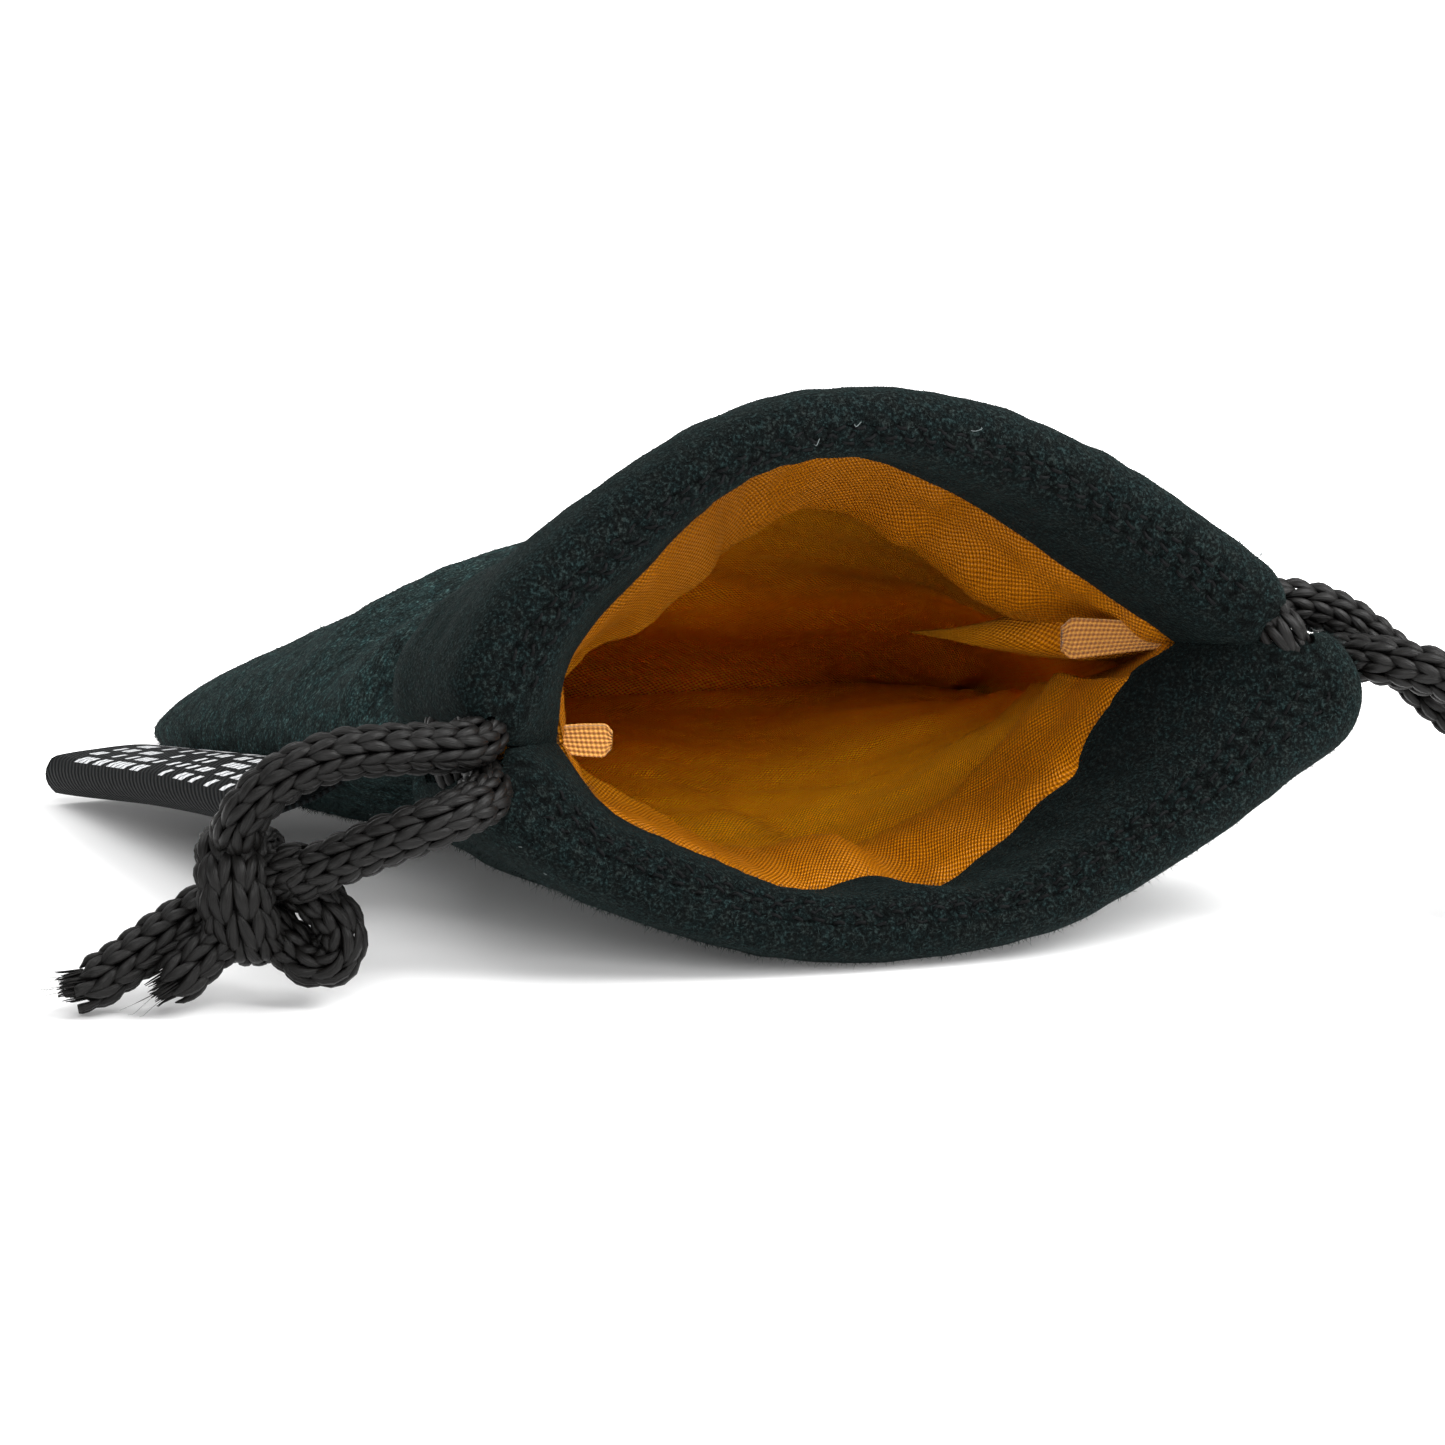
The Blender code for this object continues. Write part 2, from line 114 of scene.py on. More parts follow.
def put_in_frame(points):
    """Points in the frame's metres; cloth and cord flatten where they lie on the table."""
    placed = (np.asarray(points, float) + FRAME_SHIFT) * MM
    placed[..., 2] = np.maximum(placed[..., 2], 0)
    return placed


def smoothstep(low, high, x):
    t = np.clip((np.asarray(x, float) - low) / (high - low), 0, 1)
    return t * t * (3 - 2 * t)


def smooth_line(points, fine=24):
    """Dense Catmull-Rom line through given points of any dimension."""
    p = np.asarray(points, float)
    p = np.vstack([2 * p[0] - p[1], p, 2 * p[-1] - p[-2]])
    u = np.linspace(0, 1, fine, endpoint=False)[:, None]
    parts = []
    for a, b, c, d in zip(p, p[1:], p[2:], p[3:]):
        parts.append(0.5 * (2 * b + (c - a) * u + (2 * a - 5 * b + 4 * c - d) * u ** 2
                            + (3 * b - a - 3 * c + d) * u ** 3))
    parts.append(p[-2:-1])
    return np.vstack(parts)


def lengths(line):
    """Length along a line up to each of its points."""
    return np.concatenate([[0], np.cumsum(np.linalg.norm(np.diff(line, axis=0), axis=1))])


def even_line(points, count, fine=24):
    line = smooth_line(points, fine)
    along = lengths(line)
    wanted = np.linspace(0, along[-1], count)
    return np.stack([np.interp(wanted, along, line[:, k]) for k in range(line.shape[1])], 1)


ARC_STEPS = 1200
MOUTH = {"upper": even_line(UPPER_ARC, ARC_STEPS + 1, 60),
         "lower": even_line(LOWER_ARC, ARC_STEPS + 1, 60)}
LEFT_SEAM_Z = UPPER_ARC[0][1]
RIGHT_SEAM_Z = UPPER_ARC[-1][1]
CROWN_Z = MOUTH["upper"][:, 1].max()
MOUTH_LENGTH = {side: lengths(line)[-1] for side, line in MOUTH.items()}


def cloth(side, s, y):
    """Middle of the cloth at s = -1 (left seam) to 1 (right seam), y mm along the bag."""
    s, y = np.broadcast_arrays(np.asarray(s, float), np.asarray(y, float))
    t = np.clip((y - MOUTH_Y) / (BAG_LENGTH - FLAT_END), 0, 1)
    seam_rise = (1 - t) ** SEAM_POWER
    widening = 1 - (1 - t ** WIDENING_POWER) ** 2
    place = (s + 1) / 2 * ARC_STEPS
    steps = np.arange(ARC_STEPS + 1)
    mouth_x = np.interp(place, steps, MOUTH[side][:, 0])
    mouth_z = np.interp(place, steps, MOUTH[side][:, 1])
    seam_mouth_z = LEFT_SEAM_Z + (RIGHT_SEAM_Z - LEFT_SEAM_Z) * (s + 1) / 2
    seam_z = SEAM_STACK + (seam_mouth_z - SEAM_STACK) * seam_rise
    x = mouth_x + (BAG_WIDTH / 2 * s - mouth_x) * widening
    if side == "lower":
        return np.stack([x, y, seam_z + (mouth_z - seam_mouth_z) * seam_rise], -1)
    back = np.clip((y - MOUTH_Y) / (BAG_LENGTH - UPPER_FLAT_END), 0, 1)
    crown = SEAM_STACK + (CROWN_Z - SEAM_STACK) * (1 - back) ** CROWN_POWER
    middle_z = (LEFT_SEAM_Z + RIGHT_SEAM_Z) / 2
    middle_seam = SEAM_STACK + (middle_z - SEAM_STACK) * seam_rise
    arch = (mouth_z - seam_mouth_z) / (CROWN_Z - middle_z)
    pillow = (1 - np.abs(s) ** PILLOW_SQUARENESS) ** PILLOW_FULLNESS
    return np.stack([x, y, seam_z + (crown - middle_seam) * (arch + (pillow - arch) * back)], -1)


def outward(side, s, y):
    """Unit normals of the cloth, away from the inside of the bag."""
    s, y = np.broadcast_arrays(np.asarray(s, float), np.asarray(y, float))
    across = cloth(side, np.minimum(s + 0.015, 1), y) - cloth(side, np.maximum(s - 0.015, -1), y)
    along = (cloth(side, s, np.minimum(y + 1, BOTTOM_Y))
             - cloth(side, s, np.maximum(y - 1, MOUTH_Y)))
    normal = np.cross(across, along)
    normal /= np.linalg.norm(normal, axis=-1, keepdims=True)
    return normal if side == "upper" else -normal


def off_cloth(side, s, depth, offset):
    """Points at a depth behind the rim and an offset outside the middle of the cloth.

    A depth below 0 runs on straight past the rim.
    """
    s, depth, offset = np.broadcast_arrays(s, depth, offset)
    y = MOUTH_Y + depth
    inside = np.clip(y, MOUTH_Y, BOTTOM_Y)
    points = cloth(side, s, inside) + outward(side, s, inside) * offset[..., None]
    points[..., 1] += y - inside
    if side == "lower":
        points[..., 1] -= LIP_BOW * (1 - s ** 2) * (1 - smoothstep(0, 50, depth))
    return points


def wander(s, depth, scale, seed):
    """Smooth noise of about -1 to 1 over a grid of places on the cloth, scale in mm."""
    s, depth = np.broadcast_arrays(s, depth)
    flat = [noise.noise(Vector((a * 52 / scale, d / scale, seed)))
            for a, d in zip(s.ravel(), depth.ravel())]
    return np.array(flat).reshape(s.shape) * 1.6


# ---------------------------------------------------------------- meshes

def new_object(name, vertices, faces, materials, uvs=None, face_materials=None):
    """A mesh object from points in the frame's metres; uvs are one pair for each corner."""
    mesh = bpy.data.meshes.new(name)
    mesh.from_pydata([tuple(v) for v in vertices], [], faces)
    if uvs is not None:
        layer = mesh.uv_layers.new(name="cloth")
        layer.data.foreach_set("uv", np.asarray(uvs, np.float32).ravel())
    for made in materials:
        mesh.materials.append(made)
    if face_materials is not None:
        mesh.polygons.foreach_set("material_index", face_materials)
    mesh.shade_smooth()
    mesh.update()
    made = bpy.data.objects.new(name, mesh)
    bpy.context.scene.collection.objects.link(made)
    return made


def grid_faces(rows, columns, closed, first=0):
    """Quads of a grid of points, as an array; closed joins the last column to the first."""
    last = columns if closed else columns - 1
    i, j = np.meshgrid(np.arange(rows - 1), np.arange(last), indexing="ij")
    k = (j + 1) % columns
    quads = np.stack([i * columns + j, i * columns + k, (i + 1) * columns + k,
                      (i + 1) * columns + j], -1)
    return quads.reshape(-1, 4) + first


def tube_faces(rows, sides, first=0):
    """Faces of rings of points that make a closed tube, with a flat cap at each end."""
    last = first + (rows - 1) * sides
    caps = [[first + k for k in range(sides)][::-1], [last + k for k in range(sides)]]
    return grid_faces(rows, sides, True, first).tolist() + caps


def ply(name, outer, inner, uv, materials):
    """A closed sheet between two grids of points, with its four edges rounded off flat.

    outer and inner are (rows, columns, 3) in bag millimetres; uv is (rows, columns, 2).
    """
    rows, columns = outer.shape[:2]
    count = rows * columns
    vertices = put_in_frame(np.vstack([outer.reshape(-1, 3), inner.reshape(-1, 3)]))
    top = grid_faces(rows, columns, False)
    under = grid_faces(rows, columns, False, count)[:, ::-1]
    edge = np.array([i * columns for i in range(rows - 1)]
                    + [(rows - 1) * columns + j for j in range(columns - 1)]
                    + [i * columns + columns - 1 for i in range(rows - 1, 0, -1)]
                    + list(range(columns - 1, 0, -1)))
    following = np.roll(edge, -1)
    rim = np.stack([edge, edge + count, following + count, following], -1)
    faces = np.vstack([top, under, rim])
    flat_uv = np.vstack([uv.reshape(-1, 2)] * 2)
    made = new_object(name, vertices, faces.tolist(), materials, flat_uv[faces.ravel()])
    make_outward(made)
    return made


def make_outward(piece):
    """Turns a closed mesh's faces outward if it was built inside out."""
    mesh = piece.data
    mesh.calc_loop_triangles()
    co = np.empty(len(mesh.vertices) * 3)
    mesh.vertices.foreach_get("co", co)
    co = co.reshape(-1, 3)
    tri = np.empty(len(mesh.loop_triangles) * 3, int)
    mesh.loop_triangles.foreach_get("vertices", tri)
    a, b, c = (co[tri.reshape(-1, 3)[:, k]] for k in range(3))
    if (a * np.cross(b, c)).sum() < 0:
        mesh.flip_normals()


def with_thickness(middle, thickness):
    """The two faces of a sheet of the given thickness round a grid of middle points."""
    d_row = np.gradient(middle, axis=0)
    d_column = np.gradient(middle, axis=1)
    normal = np.cross(d_row, d_column)
    normal /= np.maximum(np.linalg.norm(normal, axis=-1, keepdims=True), 1e-9)
    half = np.asarray(thickness, float)[..., None] / 2
    return middle + normal * half, middle - normal * half


# ---------------------------------------------------------------- materials

class Nodes:
    """A material's node tree, with short calls to add and join nodes."""

    def __init__(self, name, **values):
        self.material = bpy.data.materials.new(name)
        self.material.use_nodes = True
        self.tree = self.material.node_tree
        self.shader = self.tree.nodes["Principled BSDF"]
        for key, value in values.items():
            self.shader.inputs[key.replace("_", " ")].default_value = value

    def add(self, kind, inputs=None, **settings):
        node = self.tree.nodes.new(kind)
        for key, value in settings.items():
            setattr(node, key, value)
        for key, value in (inputs or {}).items():
            if isinstance(value, bpy.types.NodeSocket):
                self.tree.links.new(value, node.inputs[key])
            else:
                node.inputs[key].default_value = value
        return node

    def math(self, operation, a, b=0.0):
        return self.add("ShaderNodeMath", {0: a, 1: b}, operation=operation).outputs[0]

    def times(self, a, b):
        return self.math("MULTIPLY", a, b)

    def plus(self, a, b):
        return self.math("ADD", a, b)

    def noise(self, place, scale, detail=2.0, roughness=0.5):
        node = self.add("ShaderNodeTexNoise",
                        {"Vector": place, "Scale": scale, "Detail": detail, "Roughness": roughness})
        return node.outputs["Fac"]

    def ramp(self, value, *stops):
        node = self.add("ShaderNodeValToRGB", {"Fac": value})
        ramp = node.color_ramp
        while len(ramp.elements) < len(stops):
            ramp.elements.new(0.5)
        for element, (place, colour) in zip(ramp.elements, stops):
            element.position = place
            element.color = (*colour, 1)
        return node.outputs["Color"]

    def between(self, value, low, high, to_low=0.0, to_high=1.0):
        return self.add("ShaderNodeMapRange",
                        {"Value": value, "From Min": low, "From Max": high,
                         "To Min": to_low, "To Max": to_high}).outputs["Result"]

    def bump(self, height, distance, strength=1.0, normal=None):
        inputs = {"Height": height, "Distance": distance, "Strength": strength}
        if normal is not None:
            inputs["Normal"] = normal
        return self.add("ShaderNodeBump", inputs).outputs["Normal"]

    def mix(self, factor, a, b, blend="MIX"):
        node = self.add("ShaderNodeMix", data_type="RGBA", blend_type=blend)
        for socket, value in ((node.inputs[0], factor), (node.inputs[6], a), (node.inputs[7], b)):
            if isinstance(value, bpy.types.NodeSocket):
                self.tree.links.new(value, socket)
            else:
                socket.default_value = value
        return node.outputs[2]

    def tint(self, colour, by):
        return self.mix(1.0, colour, by, "MULTIPLY")

    def join(self, **sockets):
        for key, value in sockets.items():
            self.tree.links.new(value, self.shader.inputs[key.replace("_", " ")])
        return self.material

    def object_place(self):
        return self.add("ShaderNodeTexCoord").outputs["Object"]

    def uv(self):
        """The cloth's own two directions, in millimetres, as two sockets."""
        split = self.add("ShaderNodeSeparateXYZ",
                         {0: self.add("ShaderNodeTexCoord").outputs["UV"]})
        return split.outputs[0], split.outputs[1]


# The rows of stitches, as lengths along the middle of the fleece from the facing's sewn edge
STITCH_ROWS = (10.0, 11.0, 12.0)
STITCH_PITCH = 2.4


def fleece_material():
    n = Nodes("fleece_nap", Roughness=0.95, Sheen_Weight=0.025, Sheen_Roughness=0.4,
              Sheen_Tint=(0.5, 0.85, 0.82, 1), Specular_IOR_Level=0.06)
    place = n.object_place()
    tufts = n.noise(place, 2900, 3, 0.65)
    clumps = n.noise(place, 1100, 2, 0.5)
    drift = n.noise(place, 45, 2, 0.5)
    colour = n.ramp(tufts, (0.32, (0.0006, 0.001, 0.001)), (0.52, (0.0032, 0.0056, 0.0054)),
                    (0.7, (0.019, 0.032, 0.03)))
    shade = n.ramp(n.plus(n.times(clumps, 0.5), n.times(drift, 0.5)), (0.3, (0.8, 0.8, 0.8)),
                   (0.7, (1.15, 1.15, 1.15)))
    colour = n.tint(colour, shade)
    hue = n.ramp(n.noise(place, 800, 1), (0.36, (1.15, 0.95, 0.95)), (0.64, (0.88, 1.02, 1.08)))
    colour = n.tint(colour, hue)
    # lengths along the cloth from the facing's sewn edge: painted shade darkens the facing,
    # and painted sheen makes the fleece behind the hem paler, in random tufts
    arc, along = n.uv()
    facing_painted_shade = n.ramp(n.between(along, 2, 11), (0.0, (0.3, 0.3, 0.3)), (1.0, (1.0, 1.0, 1.0)))
    colour = n.tint(colour, facing_painted_shade)
    # painted sheen: behind the hem the fleece is painted up to four times paler, in random tufts, for
    # light grazing the body
    tufts_and_painted_sheen = n.ramp(n.noise(place, 620, 3, 0.7), (0.36, (0.45, 0.45, 0.5)), (0.62, (3.4, 4.0, 4.0)))
    behind = n.between(along, 30, 46)
    colour = n.mix(behind, colour, n.tint(colour, tufts_and_painted_sheen))
    # shadow where each stitch draws the nap down
    for row, row_place in enumerate(STITCH_ROWS):
        near = n.between(n.math("ABSOLUTE", n.math("SUBTRACT", along, row_place)), 0.16, 0.42, 1, 0)
        turn = n.times(n.plus(arc, row * 0.8), 2 * math.pi / STITCH_PITCH)
        drawn = n.between(n.math("COSINE", turn), -0.9, 0.1)
        colour = n.mix(n.times(n.times(near, drawn), 0.85), colour,
                       (0.0004, 0.0006, 0.0006, 1))
    normal = n.bump(tufts, 0.0004, 1.0, n.bump(clumps, 0.0003, 0.4))
    return n.join(Base_Color=colour, Normal=normal)


def fibre_material():
    n = Nodes("fleece_fibre", Roughness=0.8, Specular_IOR_Level=0.12)
    colour = n.ramp(n.noise(n.object_place(), 1900, 2), (0.35, (0.002, 0.0036, 0.0036)),
                    (0.7, (0.03, 0.052, 0.05)))
    return n.join(Base_Color=colour)


def lining_material():
    """Satin weave: fine rows of floats, brighter on the crowns of the threads."""
    n = Nodes("lining_satin", Roughness=0.42, Sheen_Weight=0.04, Sheen_Roughness=0.3,
              Sheen_Tint=(1.0, 0.6, 0.15, 1), Specular_IOR_Level=0.3,
              Specular_Tint=(1.0, 0.72, 0.3, 1))
    u, v = n.uv()
    pitch = 2 * math.pi / 0.62
    row = n.times(v, pitch)
    lean = n.times(u, pitch * 0.5)
    float_a = n.math("SINE", n.plus(row, lean))
    float_b = n.math("SINE", n.math("SUBTRACT", n.times(u, pitch * 1.15), row))
    weave = n.plus(n.times(n.plus(float_a, float_b), 0.25), 0.5)
    place = n.object_place()
    drift = n.noise(place, 60, 3, 0.6)
    slub = n.noise(place, 900, 2, 0.5)
    colour = n.ramp(weave, (0.2, (0.3, 0.098, 0.0012)), (0.55, (0.52, 0.18, 0.0025)),
                    (0.85, (0.72, 0.28, 0.006)))
    shade = n.ramp(n.plus(n.times(drift, 0.7), n.times(slub, 0.3)),
                   (0.3, (0.82, 0.8, 0.78)), (0.7, (1.1, 1.12, 1.15)))
    colour = n.tint(colour, shade)
    split = n.add("ShaderNodeSeparateXYZ", {0: place})
    # painted light: the lining is painted brighter and yellower deep in the bag and darker near the
    # mouth, and brighter low down and darker high up, for how light falls into the mouth
    for value, low, high, at_low, at_high in (
            (split.outputs[1], -0.045, -0.005, (0.66, 0.58, 0.42), (1.9, 2.4, 2.0)),
            (split.outputs[2], 0.02, 0.044, (1.2, 1.2, 1.2), (0.72, 0.68, 0.6))):
        share = n.ramp(n.between(value, low, high), (0.0, at_low), (1.0, at_high))
        colour = n.tint(colour, share)
    # painted shade: the right seam lies in a deep crease, and the lining there is painted dark brown
    right = n.between(split.outputs[0], 0.0, 0.03)
    behind = n.between(split.outputs[1], -0.046, -0.03)
    above = n.between(split.outputs[2], 0.02, 0.027)
    crease = n.times(n.times(right, behind), above)
    colour = n.mix(n.times(crease, 0.7), colour, (0.05, 0.012, 0.001, 1))
    normal = n.bump(weave, 0.00022, 1.0)
    return n.join(Base_Color=colour, Normal=normal,
                  Roughness=n.between(weave, 0, 1, 0.45, 0.26))


def twill_material():
    n = Nodes("seam_tape_twill", Roughness=0.62, Sheen_Weight=0.2, Specular_IOR_Level=0.35)
    u, v = n.uv()
    ribs = n.math("SINE", n.times(v, 2 * math.pi / 0.52))
    picks = n.math("SINE", n.plus(n.times(u, 2 * math.pi / 0.48), n.times(v, 3.4)))
    weave = n.plus(n.plus(n.times(ribs, 0.3), n.times(picks, 0.2)), 0.5)
    colour = n.ramp(weave, (0.15, (0.26, 0.085, 0.009)), (0.5, (0.5, 0.19, 0.025)),
                    (0.85, (0.72, 0.34, 0.065)))
    # painted shade: the tape end at the right corner is painted darker and less blue, for the dimmer
    # light it lies in
    across = n.add("ShaderNodeSeparateXYZ", {0: n.object_place()}).outputs[0]
    right_painted_shade = n.ramp(n.between(across, 0.0, 0.03), (0.0, (1, 1, 1)), (1.0, (0.62, 0.58, 0.42)))
    colour = n.tint(colour, right_painted_shade)
    return n.join(Base_Color=colour, Normal=n.bump(weave, 0.0002, 0.9))


def yarn_material(name, colour, fine):
    """Filament yarn: fine streaks along each leg of a stitch, from the piece's own UV."""
    n = Nodes(name, Roughness=0.5, Specular_IOR_Level=0.2)
    u, v = n.uv()
    place = n.add("ShaderNodeCombineXYZ", {0: n.times(u, 14), 1: v}).outputs[0]
    streaks = n.noise(place, fine, 2, 0.55)
    low = tuple(c * 0.45 for c in colour)
    high = tuple(c * 1.9 for c in colour)
    shade = n.ramp(streaks, (0.3, low), (0.5, colour), (0.72, high))
    return n.join(Base_Color=shade, Normal=n.bump(streaks, 0.00012, 0.8),
                  Roughness=n.between(streaks, 0.3, 0.7, 0.55, 0.36))


def shade_core_material():
    # painted shade: a near-black matt tube inside the hollow cord, so that the gaps between the
    # stitches show dark
    n = Nodes("cord_shade_core", Roughness=0.9, Specular_IOR_Level=0.1)
    colour = n.ramp(n.noise(n.object_place(), 900, 2), (0.3, (0.001, 0.001, 0.001)),
                    (0.7, (0.006, 0.005, 0.005)))
    return n.join(Base_Color=colour)


def thread_material():
    n = Nodes("sewing_thread", Roughness=0.7, Specular_IOR_Level=0.1)
    twist = n.noise(n.object_place(), 2600, 1)
    colour = n.ramp(twist, (0.3, (0.0008, 0.001, 0.0011)), (0.7, (0.004, 0.005, 0.0055)))
    return n.join(Base_Color=colour, Normal=n.bump(twist, 0.0001, 0.6))


# Cells of the label's woven pattern (along, across), and the part of the label they fill
PIP_SIZE = (1.5, 2.3)
PIP_SPAN = (3.0, 52.5)
PIP_BAND = (2.3, 13.8)


def label_material():
    """Black twill: diagonal ribs along the folded strip."""
    n = Nodes("label_twill", Roughness=0.7, Specular_IOR_Level=0.08)
    u, v = n.uv()
    rib = n.math("SINE", n.plus(n.times(u, 2 * math.pi / 1.1), n.times(v, 2 * math.pi / 0.8)))
    weave = n.plus(n.times(rib, 0.5), 0.5)
    colour = n.ramp(weave, (0.3, (0.0003, 0.0004, 0.0005)), (0.75, (0.0042, 0.006, 0.0066)))
    # pips and dashes: some cells of a grid on the upper face are woven in pale thread
    cell_u = n.math("DIVIDE", u, PIP_SIZE[0])
    cell_v = n.math("DIVIDE", v, PIP_SIZE[1])
    cell = n.add("ShaderNodeCombineXYZ", {0: n.math("FLOOR", cell_u), 1: n.math("FLOOR", cell_v)})
    draw = n.add("ShaderNodeTexWhiteNoise", {"Vector": cell.outputs[0]}).outputs["Value"]
    pips = n.math("GREATER_THAN", draw, 0.5)
    for value, low, high in ((n.math("FRACT", cell_u), 0.1, 0.9), (n.math("FRACT", cell_v), 0.2, 0.8),
                             (u, *PIP_SPAN), (v, *PIP_BAND)):
        inside = n.times(n.math("GREATER_THAN", value, low), n.math("LESS_THAN", value, high))
        pips = n.times(pips, inside)
    thread = n.plus(n.times(n.math("SINE", n.times(u, 22.4)), 0.25), 0.75)
    colour = n.mix(pips, colour, n.ramp(thread, (0.5, (0.42, 0.43, 0.45)), (1.0, (0.8, 0.81, 0.82))))
    raised = n.plus(n.times(weave, 0.5), pips)
    return n.join(Base_Color=colour, Normal=n.bump(raised, 0.0003, 1.0))


FLEECE = fleece_material()
FIBRE = fibre_material()
SATIN = lining_material()
TWILL = twill_material()
YARN = yarn_material("cord_yarn", (0.0026, 0.0023, 0.002), 0.9)
SHADE_CORE = shade_core_material()
THREAD = thread_material()
LINT = Nodes("lint", Roughness=0.8, Base_Color=(0.09, 0.11, 0.11, 1)).material
LABEL = label_material()


# ---------------------------------------------------------------- shares of the closing turn

# How much of the closing upper side's turn the cloth takes at the bag's middle
CLOSING_SHARE = {"upper": 1.0, "seam": 0.5}


def mouth_blend(piece, side):
    """Works out how much of the closing upper side's turn each point would take, more the nearer it
    lies to the bag's middle; the points are then put back as they were, so the piece does not bend.

    The share of the turn depends only on the place in plan, so the layers keep their order.
    The lower side stays with the bag.
    """
    if side == "lower":
        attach(piece, "bag")
        return
    mesh = piece.data
    kept = np.empty(len(mesh.vertices) * 3, np.float32)
    mesh.vertices.foreach_get("co", kept)
    place = kept.reshape(-1, 3) / MM - FRAME_SHIFT
    depths = np.linspace(MOUTH_Y, BOTTOM_Y, 40)
    left, middle, right = (
        np.interp(place[:, 1], depths, [cloth("upper", s, depth)[0] for depth in depths])
        for s in (-1.0, 0.0, 1.0))
    inward = np.minimum((place[:, 0] - left) / (middle - left),
                        (right - place[:, 0]) / (right - middle))
    share = np.sin(np.clip(inward, 0, 1) * math.pi / 2) * CLOSING_SHARE[side]
    plan = np.zeros((len(share), 3), np.float32)
    plan[:, 2] = 0.5 - np.sin(np.arcsin(1 - 2 * share) / 3)
    mesh.vertices.foreach_set("co", plan.ravel())
    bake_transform(piece)
    mesh.vertices.foreach_set("co", kept)
    mesh.update()


# ---------------------------------------------------------------- fleece

# Middle of the fleece, as (depth behind the rim, offset outside the middle of the cloth),
# from the facing's sewn edge inside the mouth, round the rim, to the back of the hem
FACING_LINE = [(10.4, -3.0), (10.2, -3.7), (9.2, -4.1), (7.6, -4.15), (6.0, -3.85), (4.2, -3.6),
               (2.6, -3.1), (1.3, -2.1), (0.75, -0.9)]
HEM_LINE = [(0.75, 0.9), (1.3, 2.1), (2.6, 2.9), (4.6, 3.4), (8.0, 3.8), (13.0, 4.0),
            (18.0, 4.0), (21.5, 3.6), (23.6, 2.2), (25.2, 0.7), (28.0, 0.2), (34.0, 0.6)]
FLEECE_PLY = 1.4
LINING_PLY = 0.35
TAPE_PLY = 0.6
LABEL_PLY = 0.5
LINING_SHORT = 2.5
NAP_COUNT = 48000
NAP_REACH = 0.65
LINT_COUNT = 26
LINT_RADIUS = 0.05
THREAD_RADIUS = 0.18
SEAM_INSET = 0.9
SEAM_RIDGE = 0.7
HEM_ENDS = {"upper": (-0.955, 0.945), "lower": (-0.93, 0.955)}
HEM_END_ROUNDING = {"upper": 4.5, "lower": 3.0}
HEM_ROWS = 96
HEM_PROFILE = even_line(FACING_LINE + HEM_LINE, HEM_ROWS)
HEM_LENGTHS = lengths(HEM_PROFILE)


def facing_reach(side, s):
    """How far the facing's sewn edge lies behind the rim, as a share of the usual depth."""
    ripple = 0.05 * np.sin(17 * s + (0.6 if side == "upper" else 2.2))
    ripple = ripple + 0.035 * np.sin(31 * s + (1.9 if side == "upper" else 0.4))
    return 1 + ripple


# The facing's sewn edge (x, z) at the mouth, from the left seam to the right one
FACING_EDGE = {
    "upper": [(-27.9, 21.9), (-27.9, 27.2), (-26.2, 32), (-21.3, 37.8), (-14.6, 44.5), (-9, 49.8),
              (-2.5, 50.8), (3.8, 50.3), (9.3, 48.2), (17.2, 43.9), (25.5, 37.8), (32.2, 33.4),
              (37.6, 29.2)],
    "lower": [(-27.9, 21.9), (-24, 15.3), (-18.4, 11.8), (-12.9, 9), (-7, 6), (-2.3, 5.4),
              (3.6, 6.6), (8.4, 4.4), (13.6, 6.6), (19, 10), (24.8, 15.6), (29, 20.4),
              (32.6, 25.6), (37.6, 29.2)]}
# Where the two facings first touch at each corner of the mouth, and the depth of that place
CREASE_START = {-1: (-35.2, 23.2), 1: (44.4, 29.3)}
CREASE_DEPTH = 2.6
EDGE_DEPTH = 9.8
REACHES_BACK = 110
CREASE_WIDTH = 0.13
EDGE_LINES = {side: even_line(points, 400) for side, points in FACING_EDGE.items()}


def lean_in(side, across, depth, offset, points):
    """Leans the facing and the lining behind it over, so that the sewn edge lies in its place.

    across is -1 to 1 along the piece; points are the places before leaning.
    """
    edge = EDGE_LINES[side]
    place = (across + 1) / 2 * (len(edge) - 1)
    steps = np.arange(len(edge))
    target = np.stack([np.interp(place, steps, edge[:, k]) for k in range(2)], -1)
    middle = len(across) // 2
    inner_half = offset[:, middle] < 0
    at_edge = np.where(inner_half, np.abs(depth[:, middle] - EDGE_DEPTH), 99).argmin()
    pull = target - points[at_edge][:, [0, 2]]
    early = 1 - 0.45 * smoothstep(0.55, 1, np.abs(across))
    share = np.clip(depth / EDGE_DEPTH, 0, 1) ** early * (1 - smoothstep(16, REACHES_BACK, depth))
    inside = smoothstep(0.2, 2.2, -offset)
    share = (share * inside)[..., None]
    leaned = points.copy()
    leaned[..., [0, 2]] += pull[None] * share
    return leaned


def close_corners(across, depth, offset, points):
    """Brings the ends of the two facings together in a crease at each corner of the mouth."""
    closed = points.copy()
    toward = np.clip((np.abs(across) - 1 + CREASE_WIDTH) / CREASE_WIDTH, 0, 1)
    rounding = 1 - np.sqrt(1 - toward ** 2)
    amount = rounding[None, :] * smoothstep(0.8, CREASE_DEPTH, depth) * smoothstep(0.3, 2, -offset)
    amount = amount * (1 - smoothstep(11, 22, depth))
    along = np.clip((depth - CREASE_DEPTH) / (EDGE_DEPTH - CREASE_DEPTH), 0, 1)[..., None]
    for end, start in CREASE_START.items():
        corner_place = np.array(FACING_EDGE["upper"][0 if end < 0 else -1])
        crease = np.array(start) * (1 - along) + corner_place * along
        mine = (amount * (np.sign(across) == end)[None, :])[..., None]
        closed[..., [0, 2]] += (crease - closed[..., [0, 2]]) * mine
    return closed


